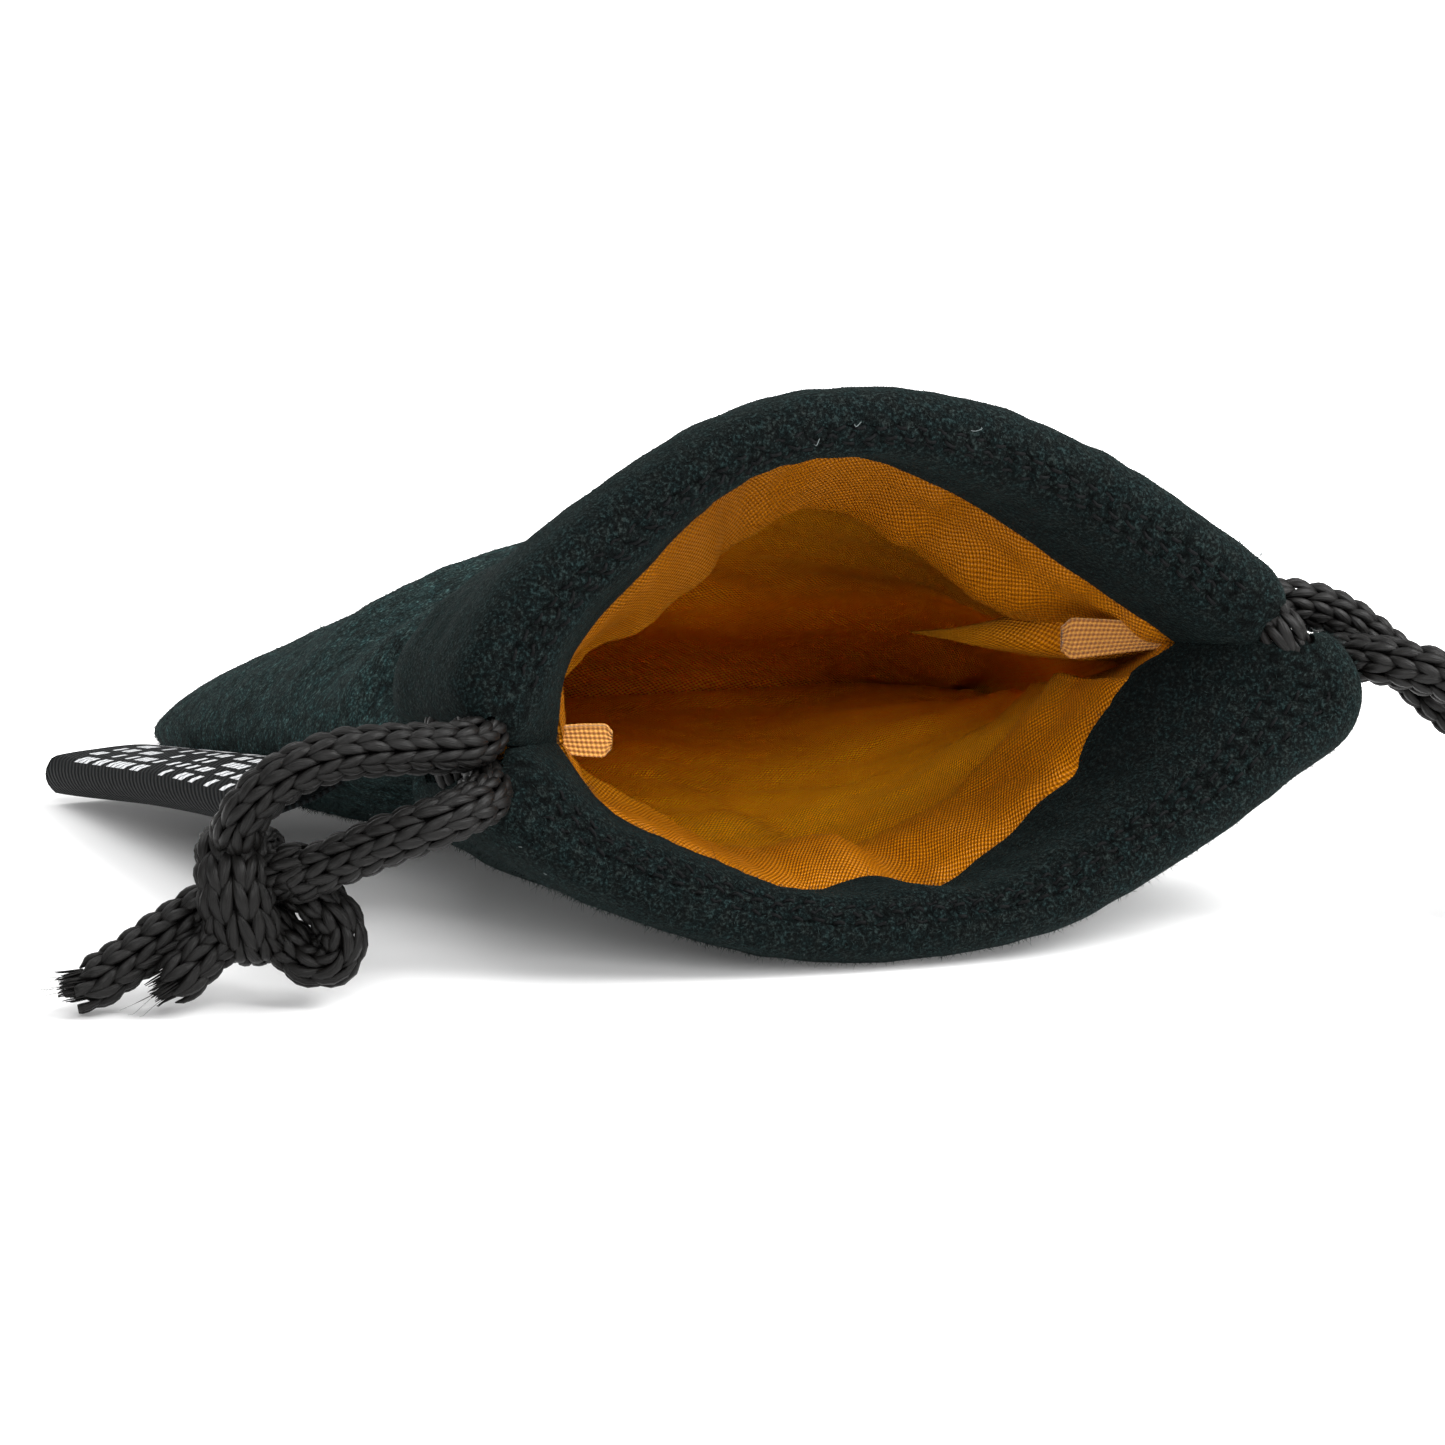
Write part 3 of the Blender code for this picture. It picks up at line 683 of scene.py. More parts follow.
def soft_folds(side, s, depth):
    """Slow unevenness of the fleece along its normal, in mm, with the folds of its left side."""
    body = smoothstep(20, 45, depth)
    lumps = wander(s, depth, 26, 3.0 if side == "upper" else 9.0) * (0.25 + 0.45 * body)
    lumps = lumps + wander(s, depth, 9, 5.0 if side == "upper" else 12.0) * 0.12
    lumps = lumps + wander(s, depth, 2.7, 7.0 if side == "upper" else 14.0) * 0.13
    waist = smoothstep(5, 23, depth) * (1 - smoothstep(30, 66, depth))
    if side == "upper":
        lumps = lumps - 4.6 * waist * np.exp(-((s + 0.42) / 0.32) ** 2)
        for centre_s, centre_d, width_s, width_d, height in (
                (-0.7, 39, 0.28, 4.5, 2.0), (-0.72, 50, 0.28, 5, -1.3), (-0.66, 61, 0.3, 5, 1.0),
                (0.35, 55, 0.4, 12, -0.8)):
            lumps = lumps + height * np.exp(-((s - centre_s) / width_s) ** 2
                                            - ((depth - centre_d) / width_d) ** 2)
    else:
        lumps = lumps - 1.6 * waist * np.exp(-((s + 0.8) / 0.3) ** 2)
    # the left flank falls in behind the stitched back of the hem
    flank = np.exp(-((s + 0.82) / 0.24) ** 2)
    lumps = lumps + 0.9 * flank * np.exp(-((depth - 18) / 4.5) ** 2)
    lumps = lumps - 2.6 * flank * smoothstep(20.5, 26, depth) * (1 - smoothstep(29, 46, depth))
    quiet = smoothstep(0, 12, BAG_LENGTH - depth) * smoothstep(0, 0.12, 1 - np.abs(s))
    return lumps * quiet


def drop_corners(s, depth, middle):
    """Rounds and flattens the two corners at the bottom of the bag."""
    corner_share = smoothstep(0.62, 1, np.abs(s)) * (1 - smoothstep(0, 26, BAG_LENGTH - depth))
    dropped = middle.copy()
    dropped[..., 2] *= 1 - 0.5 * corner_share
    dropped[..., 0] -= np.sign(s) * 2.6 * corner_share ** 2
    dropped[..., 1] -= 1.6 * corner_share ** 2
    return dropped


def fleece_side(side):
    """One side of the bag with its hem turned over the cords, as one closed ply of fleece."""
    body_depths = BAG_LENGTH - (BAG_LENGTH - 34) * np.linspace(1, 0, 96)[1:] ** 1.5
    body_offset = 0.6 + (SEAM_STACK - FLEECE_PLY / 2 - 0.6) * smoothstep(34, 50, body_depths)
    body_line = np.stack([body_depths, body_offset], 1)
    line = np.vstack([HEM_PROFILE, body_line])
    low, high = HEM_ENDS[side]
    across = np.linspace(-1, 1, 181)
    across = np.sign(across) * (1 - (1 - np.abs(across)) ** 1.25)
    depth = np.repeat(line[:, :1], len(across), 1)
    offset = np.repeat(line[:, 1:], len(across), 1)
    to_body = smoothstep(20, 27, depth)
    limit_low = low + (-1 - low) * to_body
    limit_high = high + (1 - high) * to_body
    s = limit_low + (limit_high - limit_low) * (across[None, :] + 1) / 2
    on_facing = smoothstep(0, 1.5, -offset) * smoothstep(2, 8, depth)
    depth = depth * (1 + (facing_reach(side, s) - 1) * on_facing)
    to_edge = np.minimum(s - limit_low, limit_high - s) * MOUTH_LENGTH[side] / 2
    round_hem = np.sqrt(1 - (1 - np.clip(to_edge / HEM_END_ROUNDING[side], 0, 1)) ** 2)
    round_seam = np.sqrt(1 - (1 - np.clip(to_edge / 2.6, 0, 1)) ** 2)
    squeeze = (0.3 + 0.7 * round_hem) * (1 - to_body) + (0.12 + 0.88 * round_seam) * to_body
    to_bottom = np.sqrt(1 - (1 - np.clip((BAG_LENGTH - depth) / 2.6, 0, 1)) ** 2)
    offset = offset * squeeze * (0.15 + 0.85 * to_bottom)
    # the hem's back is drawn in by its own row of stitches
    offset = offset - 0.55 * np.exp(-((depth - HEM_DEPTH) / 1.3) ** 2) * (offset > 0)
    # the three rows of stitches sink into the front of the hem
    arc = s * MOUTH_LENGTH[side] / 2
    along = lengths(line)
    ahead = np.gradient(line, axis=0)
    ahead /= np.linalg.norm(ahead, axis=1, keepdims=True)
    for row, row_place in enumerate(STITCH_ROWS):
        dimple = 0.62 + 0.38 * np.cos(2 * math.pi * (arc + row * 0.8) / STITCH_PITCH)
        groove = 0.8 * np.exp(-((along[:, None] - row_place) / 0.4) ** 2) * dimple
        groove = groove * smoothstep(1, 6, to_edge)
        depth = depth + groove * ahead[:, 1:]
        offset = offset - groove * ahead[:, :1]
    edge_ripple = 0.3 * np.sin(23 * s + (0.3 if side == "upper" else 1.7)) * on_facing
    middle = off_cloth(side, s, depth, offset + soft_folds(side, s, depth) + edge_ripple)
    middle = lean_in(side, across, depth, offset, middle)
    middle = close_corners(across, depth, offset, middle)
    middle[..., 0] += np.sign(s) * SEAM_RIDGE * smoothstep(0.96, 1, np.abs(s)) * to_body
    middle = drop_corners(s, depth, middle)
    thickness = np.full(s.shape, FLEECE_PLY)
    thickness *= 0.35 + 0.65 * np.clip(np.arange(len(line))[:, None] / 3, 0, 1)
    thickness *= 0.25 + 0.75 * to_bottom
    thickness *= 1 - 0.6 * (1 - round_seam) * to_body
    outer, inner = with_thickness(middle, thickness)
    uv = np.stack([np.broadcast_to(arc, s.shape), np.repeat(along[:, None], len(across), 1)], -1)
    made = ply(f"{side}_fleece", outer, inner, uv, [FLEECE])
    return made, outer, inner


def facing_out(outer, inner, side):
    """Of the two faces of the fleece, the one that shows."""
    middle = len(outer[0]) // 2
    above = outer[-20, middle, 2] > inner[-20, middle, 2]
    return outer if above == (side == "upper") else inner


def fibres(side, faces, count, reach):
    """Short nap fibres as thin closed spikes standing on the shown face of the fleece."""
    draw = np.random.default_rng(11 if side == "upper" else 12)
    rows, columns = faces.shape[:2]
    d_row = np.gradient(faces, axis=0)
    d_column = np.gradient(faces, axis=1)
    normal = np.cross(d_row, d_column)
    area = np.linalg.norm(normal, axis=-1)
    normal /= np.maximum(area[..., None], 1e-9)
    standing = np.interp(np.arange(rows), (0, 14, 26, HEM_ROWS - 20, HEM_ROWS, rows - 1),
                         (0.2, 0.3, 1, 1, 1.7, 1.7))
    for row_place in STITCH_ROWS:
        standing[:HEM_ROWS] *= 1 - 0.9 * np.exp(-((HEM_LENGTHS - row_place) / 0.35) ** 2)
    chance = (area * standing[:, None]).ravel()
    chance /= chance.sum()
    picked = draw.choice(rows * columns, count, p=chance)
    i, j = np.divmod(picked, columns)
    shift = draw.uniform(-0.5, 0.5, (count, 2))
    root = faces[i, j] + d_row[i, j] * shift[:, :1] + d_column[i, j] * shift[:, 1:]
    stand = normal[i, j]
    lean = draw.normal(0, 1, (count, 3))
    lean -= (lean * stand).sum(1)[:, None] * stand
    longer = 1 + 1.1 * (draw.uniform(0, 1, (count, 1)) < 0.1)
    tip = root + (stand * draw.uniform(0.15, 1, (count, 1)) + lean * 0.5) * reach * longer
    side_way = np.cross(tip - root, draw.normal(0, 1, (count, 3)))
    side_way /= np.maximum(np.linalg.norm(side_way, axis=1, keepdims=True), 1e-9)
    other_way = np.cross(tip - root, side_way)
    other_way /= np.maximum(np.linalg.norm(other_way, axis=1, keepdims=True), 1e-9)
    width = 0.032
    sunk = root - stand * 0.08
    corners = [sunk + side_way * width, sunk - side_way * width / 2 + other_way * width * 0.87,
               sunk - side_way * width / 2 - other_way * width * 0.87, tip]
    vertices = put_in_frame(np.stack(corners, 1).reshape(-1, 3))
    base = np.arange(count)[:, None] * 4
    triangles = [base + np.array(t) for t in ((0, 2, 1), (0, 1, 3), (1, 2, 3), (2, 0, 3))]
    made = new_object(f"{side}_nap", vertices, np.vstack(triangles).tolist(), [FIBRE])
    mouth_blend(made, side)


def thin_tubes(name, strands, radius, material, side):
    """Closed six-sided tubes round lines of points; strands are pairs of a line and a way up."""
    sides = 6
    ring = np.linspace(0, 2 * math.pi, sides, endpoint=False)
    vertices, faces = [], []
    for centre, up in strands:
        side_way = np.cross(np.gradient(centre, axis=0), up)
        side_way /= np.linalg.norm(side_way, axis=1, keepdims=True)
        base = len(vertices) * sides * len(centre)
        tube = (centre[:, None] + side_way[:, None] * (np.cos(ring) * radius)[None, :, None]
                + up[:, None] * (np.sin(ring) * radius)[None, :, None])
        vertices.append(tube.reshape(-1, 3))
        faces += tube_faces(len(centre), sides, base)
    made = new_object(name, put_in_frame(np.vstack(vertices)), faces, [material])
    make_outward(made)
    mouth_blend(made, side)


def lint(side, faces, count):
    """A few pale loose fibres that curl on the shown face of the fleece."""
    draw = random.Random(3 if side == "upper" else 4)
    rows, columns = faces.shape[:2]
    shares = np.linspace(0, 1, 7)[:, None]
    strands = []
    for _ in range(count):
        i, j = draw.randrange(14, rows - 30), draw.randrange(12, columns - 12)
        root = faces[i, j]
        across, along = faces[i, j + 1] - root, faces[i + 1, j] - root
        up = np.cross(across, along)
        up, across, along = (way / np.linalg.norm(way) for way in (up, across, along))
        angle = draw.uniform(0, 6.3) + draw.uniform(-2.2, 2.2) * shares
        reach = draw.uniform(0.5, 1.3)
        line = root + (across * np.cos(angle) + along * np.sin(angle)) * reach * shares
        line = line + up * 0.35 * (1 + np.sin(5 * shares))
        strands.append((line, np.repeat(up[None], len(line), 0)))
    thin_tubes(f"{side}_lint", strands, LINT_RADIUS, LINT, side)


def stitches(side, rows):
    """Short stitches of sewing thread that dip into the cloth at both ends.

    rows are pairs of a line of points on the cloth and the way out of the cloth at each.
    """
    length = STITCH_PITCH * 0.7
    shares = np.linspace(0, 1, 7)
    height = 0.1 - 0.5 * (2 * np.abs(shares - 0.5)) ** 4
    strands = []
    for row, (line, out) in enumerate(rows):
        along = lengths(line)
        for start in np.arange(0.3 + 0.8 * row, along[-1] - length, STITCH_PITCH):
            wanted = start + shares * length
            centre, up = (np.stack([np.interp(wanted, along, data[:, k]) for k in range(3)], 1)
                          for data in (line, out))
            strands.append((centre + up * height[:, None], up))
    thin_tubes(f"{side}_facing_stitches", strands, THREAD_RADIUS, THREAD, side)


def cloth_row(shown, other, row, first, last):
    """A line of points along one row of a ply's shown face, and the way out of the cloth."""
    line = shown[row, first:last]
    out = line - other[row, first:last]
    return line, out / np.maximum(np.linalg.norm(out, axis=1, keepdims=True), 1e-9)


def seam_rows(side, shown, other):
    """The three rows that hold the facing down."""
    rows = [cloth_row(shown, other, np.abs(HEM_LENGTHS - place).argmin(), 12, shown.shape[1] - 12)
            for place in STITCH_ROWS]
    stitches(side, rows)


# ---------------------------------------------------------------- lining

LINING_LINE = [(9.0, -2.9), (10.4, -3.5), (12.5, -4.2), (18.0, -4.6), (22.5, -4.6), (25.0, -3.9),
               (27.5, -2.2), (30.5, -1.6), (38.0, -1.4), (52.0, -1.0), (70.0, -0.6), (90.0, -0.1),
               (105.0, 0.1)]


def lining_folds(side, s, depth):
    """Creases of the slack lining, in mm towards the inside of the bag."""
    start = smoothstep(11, 22, depth)
    slack = 0.9 + wander(s, depth, 24, 21.0 if side == "upper" else 31.0) * 1.5
    slack = slack + wander(s, depth, 9, 25.0 if side == "upper" else 35.0) * 0.35
    slack = np.maximum(slack, 0) * start
    if side == "upper":
        # the hem's back stitching holds the lining out; it falls back behind it
        shelf = smoothstep(13, 21, depth) * (1 - smoothstep(22, 31, depth))
        slack = slack + 2.4 * shelf * np.exp(-((s - 0.45) / 0.35) ** 2)
    return slack


def lining_side(side):
    line = even_line(LINING_LINE, 116)
    body_depths = np.linspace(LINING_LINE[-1][0], BAG_LENGTH - LINING_SHORT, 20)[1:]
    line = np.vstack([line, np.stack([body_depths, np.full(19, LINING_LINE[-1][1])], 1)])
    across = np.linspace(-1, 1, 141)
    across = np.sign(across) * (1 - (1 - np.abs(across)) ** 1.2)
    depth = np.repeat(line[:, :1], len(across), 1)
    offset = np.repeat(line[:, 1:], len(across), 1)
    s = np.repeat(across[None, :], len(line), 0)
    near = 1 - smoothstep(12, 20, depth)
    depth = depth * (1 + (facing_reach(side, s) - 1) * near)
    to_edge = (1 - np.abs(s)) * MOUTH_LENGTH[side] / 2
    offset = offset * np.sqrt(1 - (1 - np.clip(to_edge / 5, 0, 1)) ** 2)
    quiet = smoothstep(0, 5, to_edge) * smoothstep(0, 10, BAG_LENGTH - LINING_SHORT - depth)
    folded = offset + soft_folds(side, s, depth) - lining_folds(side, s, depth) * quiet
    middle = off_cloth(side, s, depth, folded)
    middle = lean_in(side, across, depth, np.full(depth.shape, -3.0), middle)
    middle[..., 0] -= np.sign(s) * SEAM_INSET * smoothstep(0.8, 1, np.abs(s))
    middle = drop_corners(s, depth, middle)
    outer, inner = with_thickness(middle, np.full(s.shape, LINING_PLY))
    uv = np.stack([s * BAG_WIDTH / 2, np.repeat(lengths(line)[:, None], len(across), 1)], -1)
    made = ply(f"{side}_lining", outer, inner, uv, [SATIN])
    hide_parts(f"lining_{side}_panel")
    mouth_blend(made, side)


def lining_fold(name, route, heights, depths):
    """A fold of slack lining that stands out of a corner of the mouth, as a cone squashed flat."""
    stations = 48
    line = even_line(route, stations)
    shares = np.linspace(0, 1, stations)
    places = np.linspace(0, 1, len(heights))
    tall, deep = (np.interp(shares, places, values) for values in (heights, depths))
    ring = np.linspace(0, 2 * math.pi, 28, endpoint=False)
    uneven = 1 + 0.1 * np.sin(ring * 3 + 1)[None, :] * np.sin(shares * 9)[:, None]
    x = np.repeat(line[:, :1], len(ring), 1)
    y = line[:, 1:2] + deep[:, None] * np.cos(ring)[None, :] * uneven
    z = line[:, 2:3] + tall[:, None] * np.sin(ring)[None, :] * uneven
    points = np.stack([x, y, z], -1)
    faces = tube_faces(stations, len(ring))
    uv = np.stack(np.broadcast_arrays(lengths(line)[:, None], ring[None, :] * 2.5), -1)
    flat_uv = uv.reshape(-1, 2)
    corners = [flat_uv[k] for face in faces for k in face]
    made = new_object(name, put_in_frame(points.reshape(-1, 3)), faces, [SATIN], corners)
    make_outward(made)
    mouth_blend(made, "seam")


# ---------------------------------------------------------------- knitted cord

def travelling_axes(line, side_way=None):
    """Two cross axes along a line, turning as little as they can."""
    tangent = np.gradient(line, axis=0)
    tangent /= np.linalg.norm(tangent, axis=1, keepdims=True)
    first = np.array(side_way if side_way is not None else (0.2, -0.9, 0.4), float)
    axes = []
    for t in tangent:
        if side_way is not None:
            first = np.array(side_way, float)
        first = first - (first @ t) * t
        first /= np.linalg.norm(first)
        axes.append(first)
    first = np.array(axes)
    return first, np.cross(tangent, first)


def knit(name, route, wales=6, pitch=2.3, radius=CORD_DIAMETER / 2, wide=1.0, thick=1.0,
         side_way=None, phase=0.0):
    """A hollow knitted cord: two leaf-shaped legs a stitch, in columns round a near-black core tube,
    which paints the shade inside the hollow cord.

    wide and thick flatten the cord across its two cross axes.
    """
    line = even_line(route, max(30, int(lengths(np.asarray(route, float))[-1] * 2.2)))
    along = lengths(line)
    total = along[-1]
    axis_a, axis_b = travelling_axes(line, side_way)

    def place(a, angle, r):
        """Points a mm along, at an angle round the cord and r mm out."""
        a = np.clip(a, 0, total)
        centre, first, second = ([np.interp(a, along, data[:, k]) for k in range(3)]
                                 for data in (line, axis_a, axis_b))
        centre, first, second = (np.stack(v, -1) for v in (centre, first, second))
        return (centre + first * (np.cos(angle) * r * wide)[..., None]
                + second * (np.sin(angle) * r * thick)[..., None])

    across_steps, leg_steps = 8, 7
    rows = int(total / pitch) + 1
    step = 2 * math.pi / wales
    u = np.linspace(0, 1, leg_steps)
    v = np.linspace(0, 2 * math.pi, across_steps, endpoint=False)
    leaf = np.sin(math.pi * np.clip(u * 0.94 + 0.03, 0, 1)) ** 0.8
    half_width = radius * math.sin(step / 2) * 0.53 * leaf
    half_thick = 0.42 * leaf
    vertices, faces, uvs, kinds = [], [], [], []
    draw = random.Random(len(name) * 31 + int(total * 10))
    for row in range(-1, rows):
        for wale in range(wales):
            for lean in (-1, 1):
                wobble = draw.uniform(-0.07, 0.07)
                start = (row + phase + wobble) * pitch
                reach = pitch * (1.62 + draw.uniform(-0.06, 0.06))
                if start + reach * 0.45 < 0 or start + reach * 0.6 > total:
                    continue
                a = start + reach * u
                spread_out = 0.06 + 0.40 * u ** 0.8
                angle = wale * step + lean * step * spread_out + draw.uniform(-0.03, 0.03)
                lift = radius - 0.78 + 0.62 * np.sin(math.pi * (u * 0.84 + 0.12)) ** 0.8
                lift = lift + draw.uniform(-0.05, 0.05)
                lean_angle = math.atan2(lean * step * 0.4 * radius, reach)
                cross_a = np.sin(lean_angle) * np.cos(v)
                a_grid = a[:, None] - half_width[:, None] * cross_a[None, :]
                angle_grid = angle[:, None] + (half_width[:, None] * np.cos(v)[None, :]
                                               * math.cos(lean_angle)) / radius
                r_grid = lift[:, None] + half_thick[:, None] * np.sin(v)[None, :]
                base = len(vertices) * leg_steps * across_steps
                vertices.append(place(a_grid, angle_grid, r_grid).reshape(-1, 3))
                quads = tube_faces(leg_steps, across_steps, base)
                faces += quads
                offset = draw.uniform(0, 90)
                for face in quads:
                    for corner_index in face:
                        i, j = divmod(corner_index - base, across_steps)
                        uvs.append((offset + v[j] * 0.35, u[i] * 2))
                kinds += [0] * len(quads)
    base = len(vertices) * leg_steps * across_steps
    # painted shade: the near-black core tube inside the hollow cord
    core_sides = 12
    core_line = np.linspace(0.4, total - 0.4, max(8, int(total)))
    ring = np.linspace(0, 2 * math.pi, core_sides, endpoint=False)
    shade_core = place(core_line[:, None] + 0 * ring[None, :], ring[None, :] + 0 * core_line[:, None],
                 np.full((len(core_line), core_sides), radius - 1.25))
    vertices.append(shade_core.reshape(-1, 3))
    quads = tube_faces(len(core_line), core_sides, base)
    faces += quads
    uvs += [(0.0, 0.0)] * sum(len(face) for face in quads)
    kinds += [1] * len(quads)
    made = new_object(name, put_in_frame(np.vstack(vertices)), faces, [YARN, SHADE_CORE], uvs, kinds)
    return made, line


def strand_blend(piece, hem_x, knot_x):
    """Bakes a free strand's transform into its mesh; the strand stays where it was built."""
    y, z = -62.0, 20.0
    tuple(put_in_frame((hem_x, y, z)))
    tuple(put_in_frame((knot_x, y, z)))
    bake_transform(piece)


# Axes of the picture plane, which the knots are laid out in: right, up and towards the viewer
TURN = math.radians(15.3)
TILT = math.radians(12)
AHEAD = np.array((math.sin(TURN) * math.cos(TILT), math.cos(TURN) * math.cos(TILT),
                  -math.sin(TILT)))
RIGHT = np.array((math.cos(TURN), -math.sin(TURN), 0))
UP = np.cross(RIGHT, AHEAD)

# Knot routes as (right, up, towards the viewer) from the knot's centre
WRAP = [(0, 3.7, -2.6), (-0.5, 5.7, -0.4), (-0.9, 5.1, 2.6), (-0.8, 2.0, 4.5), (-0.4, -1.2, 4.4),
        (0.2, -3.6, 2.8), (0.5, -4.4, -0.2), (0.5, -3.0, -3.0), (0.3, 0.2, -4.0), (0, 2.4, -2.6)]
BIGHT = [(-1.5, 1.7, 0), (1.5, 2.0, 0.3), (4.6, 1.6, 0.8), (7.4, -0.3, 1.2), (9.3, -3.0, 1.3),
         (8.7, -5.7, 1.1), (6.2, -6.0, 0.8), (3.9, -4.2, 0.4), (1.5, -2.4, 0), (-1.5, -1.8, 0)]
LONG_TAIL = [(1.5, 0.6, 0.2), (-1.5, 0, 0.4), (-4.8, -1.4, 1.2), (-8.4, -3.9, 2.4),
             (-11.6, -6.2, 3.4), (-14.2, -7.9, 4.0), (-16.2, -9.0, 4.2)]
SHORT_TAIL = [(0.5, -2.2, 1.2), (-2.5, -4.0, 2.4), (-4.6, -6.0, 3.6), (-6.2, -7.6, 4.2),
              (-7.4, -8.6, 4.4)]
# The two strands run on into the knot
UPPER_FEED = [(-0.9, 8.4, 4.4), (-0.6, 6.4, 4.1), (-0.4, 4.0, 2.4), (0, 1.0, 0)]
LOWER_FEED = [(6.7, 3.7, 5.2), (4.9, 3.0, 4.5), (2.6, 2.2, 2.6), (0.4, 1.0, 0.4)]
SIDE_OF_LEFT = {"left": 1, "right": -1}


def knot_route(side, points):
    """A knot's route in bag millimetres; the right knot is the left one mirrored."""
    centre = np.array(LEFT_KNOT if side == "left" else RIGHT_KNOT)
    p = np.asarray(points, float)
    route = p[:, :1] * RIGHT + p[:, 1:2] * UP - p[:, 2:] * AHEAD
    route[:, 0] *= SIDE_OF_LEFT[side]
    route = centre + route
    route[:, 2] = np.maximum(route[:, 2], CORD_DIAMETER / 2 + 0.2)
    return route


def frayed_end(name, tip, direction, count):
    """Broken yarn ends and a few long loose filaments past the cut end of a cord."""
    draw = random.Random(len(name))
    curve = bpy.data.curves.new(name, "CURVE")
    curve.dimensions = "3D"
    curve.bevel_depth = 0.11 * MM
    curve.bevel_resolution = 1
    curve.use_fill_caps = True
    curve.resolution_u = 3
    direction = np.array(direction) / np.linalg.norm(direction)
    across = np.cross(direction, (0, 0, 1))
    across /= np.linalg.norm(across)
    upward = np.cross(across, direction)
    for k in range(count):
        long_one = k % 16 == 0
        angle = draw.uniform(0, 2 * math.pi)
        out = draw.uniform(0.2, 2.0)
        root = tip + across * math.cos(angle) * out + upward * math.sin(angle) * out * 0.8
        reach = draw.uniform(3.0, 5.5) if long_one else draw.uniform(0.5, 1.7)
        bend = across * draw.uniform(-0.5, 0.5) + upward * draw.uniform(-0.35, 0.3)
        points = [root - direction * 1.2, root + direction * reach * 0.4 + bend * 0.4,
                  root + direction * reach + bend * reach * 0.5]
        spline = curve.splines.new("POLY")
        fine = smooth_line(points, 4)
        fine[:, 2] = np.maximum(fine[:, 2], 0.25)
        spline.points.add(len(fine) - 1)
        for n_point, (slot_point, p) in enumerate(zip(spline.points, put_in_frame(fine))):
            slot_point.co = (*p, 1)
            thin = 0.3 if long_one else 1.0
            slot_point.radius = thin * (1 - 0.75 * n_point / len(fine))
    curve.materials.append(YARN)
    made = bpy.data.objects.new(name, curve)
    bpy.context.scene.collection.objects.link(made)
    return made


def make_knot(side):
    wrap, _ = knit(f"{side}_knot_wrap", knot_route(side, WRAP), wales=8, pitch=2.5, radius=2.5,
                   wide=1.45, thick=0.8, side_way=RIGHT)
    bight, _ = knit(f"{side}_knot_loop", knot_route(side, BIGHT), phase=0.3)
    long_tail, long_line = knit(f"{side}_tail_long", knot_route(side, LONG_TAIL), wide=1.1)
    short_tail, short_line = knit(f"{side}_tail_short", knot_route(side, SHORT_TAIL))
    feeds = [knit(f"{side}_knot_{which}_feed", knot_route(side, points))[0]
             for which, points in (("upper", UPPER_FEED), ("lower", LOWER_FEED))]
    frays = [frayed_end(f"{side}_fray_long", long_line[-1], long_line[-1] - long_line[-3], 96),
             frayed_end(f"{side}_fray_short", short_line[-1], short_line[-1] - short_line[-3], 64)]
    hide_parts(f"{side}_knot")
    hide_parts(f"{side}_knot_bight")
    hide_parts(f"{side}_long_tail")
    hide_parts(f"{side}_short_tail")
    pieces = [wrap, bight, long_tail, short_tail, *feeds, *frays]
    for piece in pieces:
        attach(piece, f"{side}_cord")
    return pieces


def make_strand(side, which, route):
    name = f"{side}_{which}_cord_strand"
    made, line = knit(name, route)
    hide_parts(f"{side}_cord_{which}_strand")
    hem_x, knot_x = (-37.5, -57.0) if side == "left" else (50.5, 71.0)
    strand_blend(made, hem_x, knot_x)
    tuple(put_in_frame(line[0]))
    put_in_frame(line).tolist()


def make_cords():
    strands = {"left": (LEFT_UPPER_STRAND, LEFT_LOWER_STRAND),
               "right": (RIGHT_UPPER_STRAND, RIGHT_LOWER_STRAND)}
    for side in ("left", "right"):
        pieces = make_knot(side)
        for which, route in zip(("upper", "lower"), strands[side]):
            make_strand(side, which, route)
    for name, route, node in (("left_cord_bend", RIGHT_TURN, "left_cord_turn"),
                              ("right_cord_bend", LEFT_TURN, "right_cord_turn")):
        made, _ = knit(name, route)
        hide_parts(node)
        mouth_blend(made, "upper")
    for cord, slot_depth in (("left", FRONT_SLOT), ("right", BACK_SLOT)):
        for side in ("upper", "lower"):
            s = np.linspace(-0.85, 0.84, 40)
            made, _ = knit(f"{cord}_cord_{side}_in_hem", off_cloth(side, s, slot_depth, 1.5),
                           wales=5, pitch=2.4, wide=1.1, thick=0.52, side_way=(0, 1, 0))
            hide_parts(f"{cord}_cord_{side}_run")
            mouth_blend(made, side)


# ---------------------------------------------------------------- label and tapes

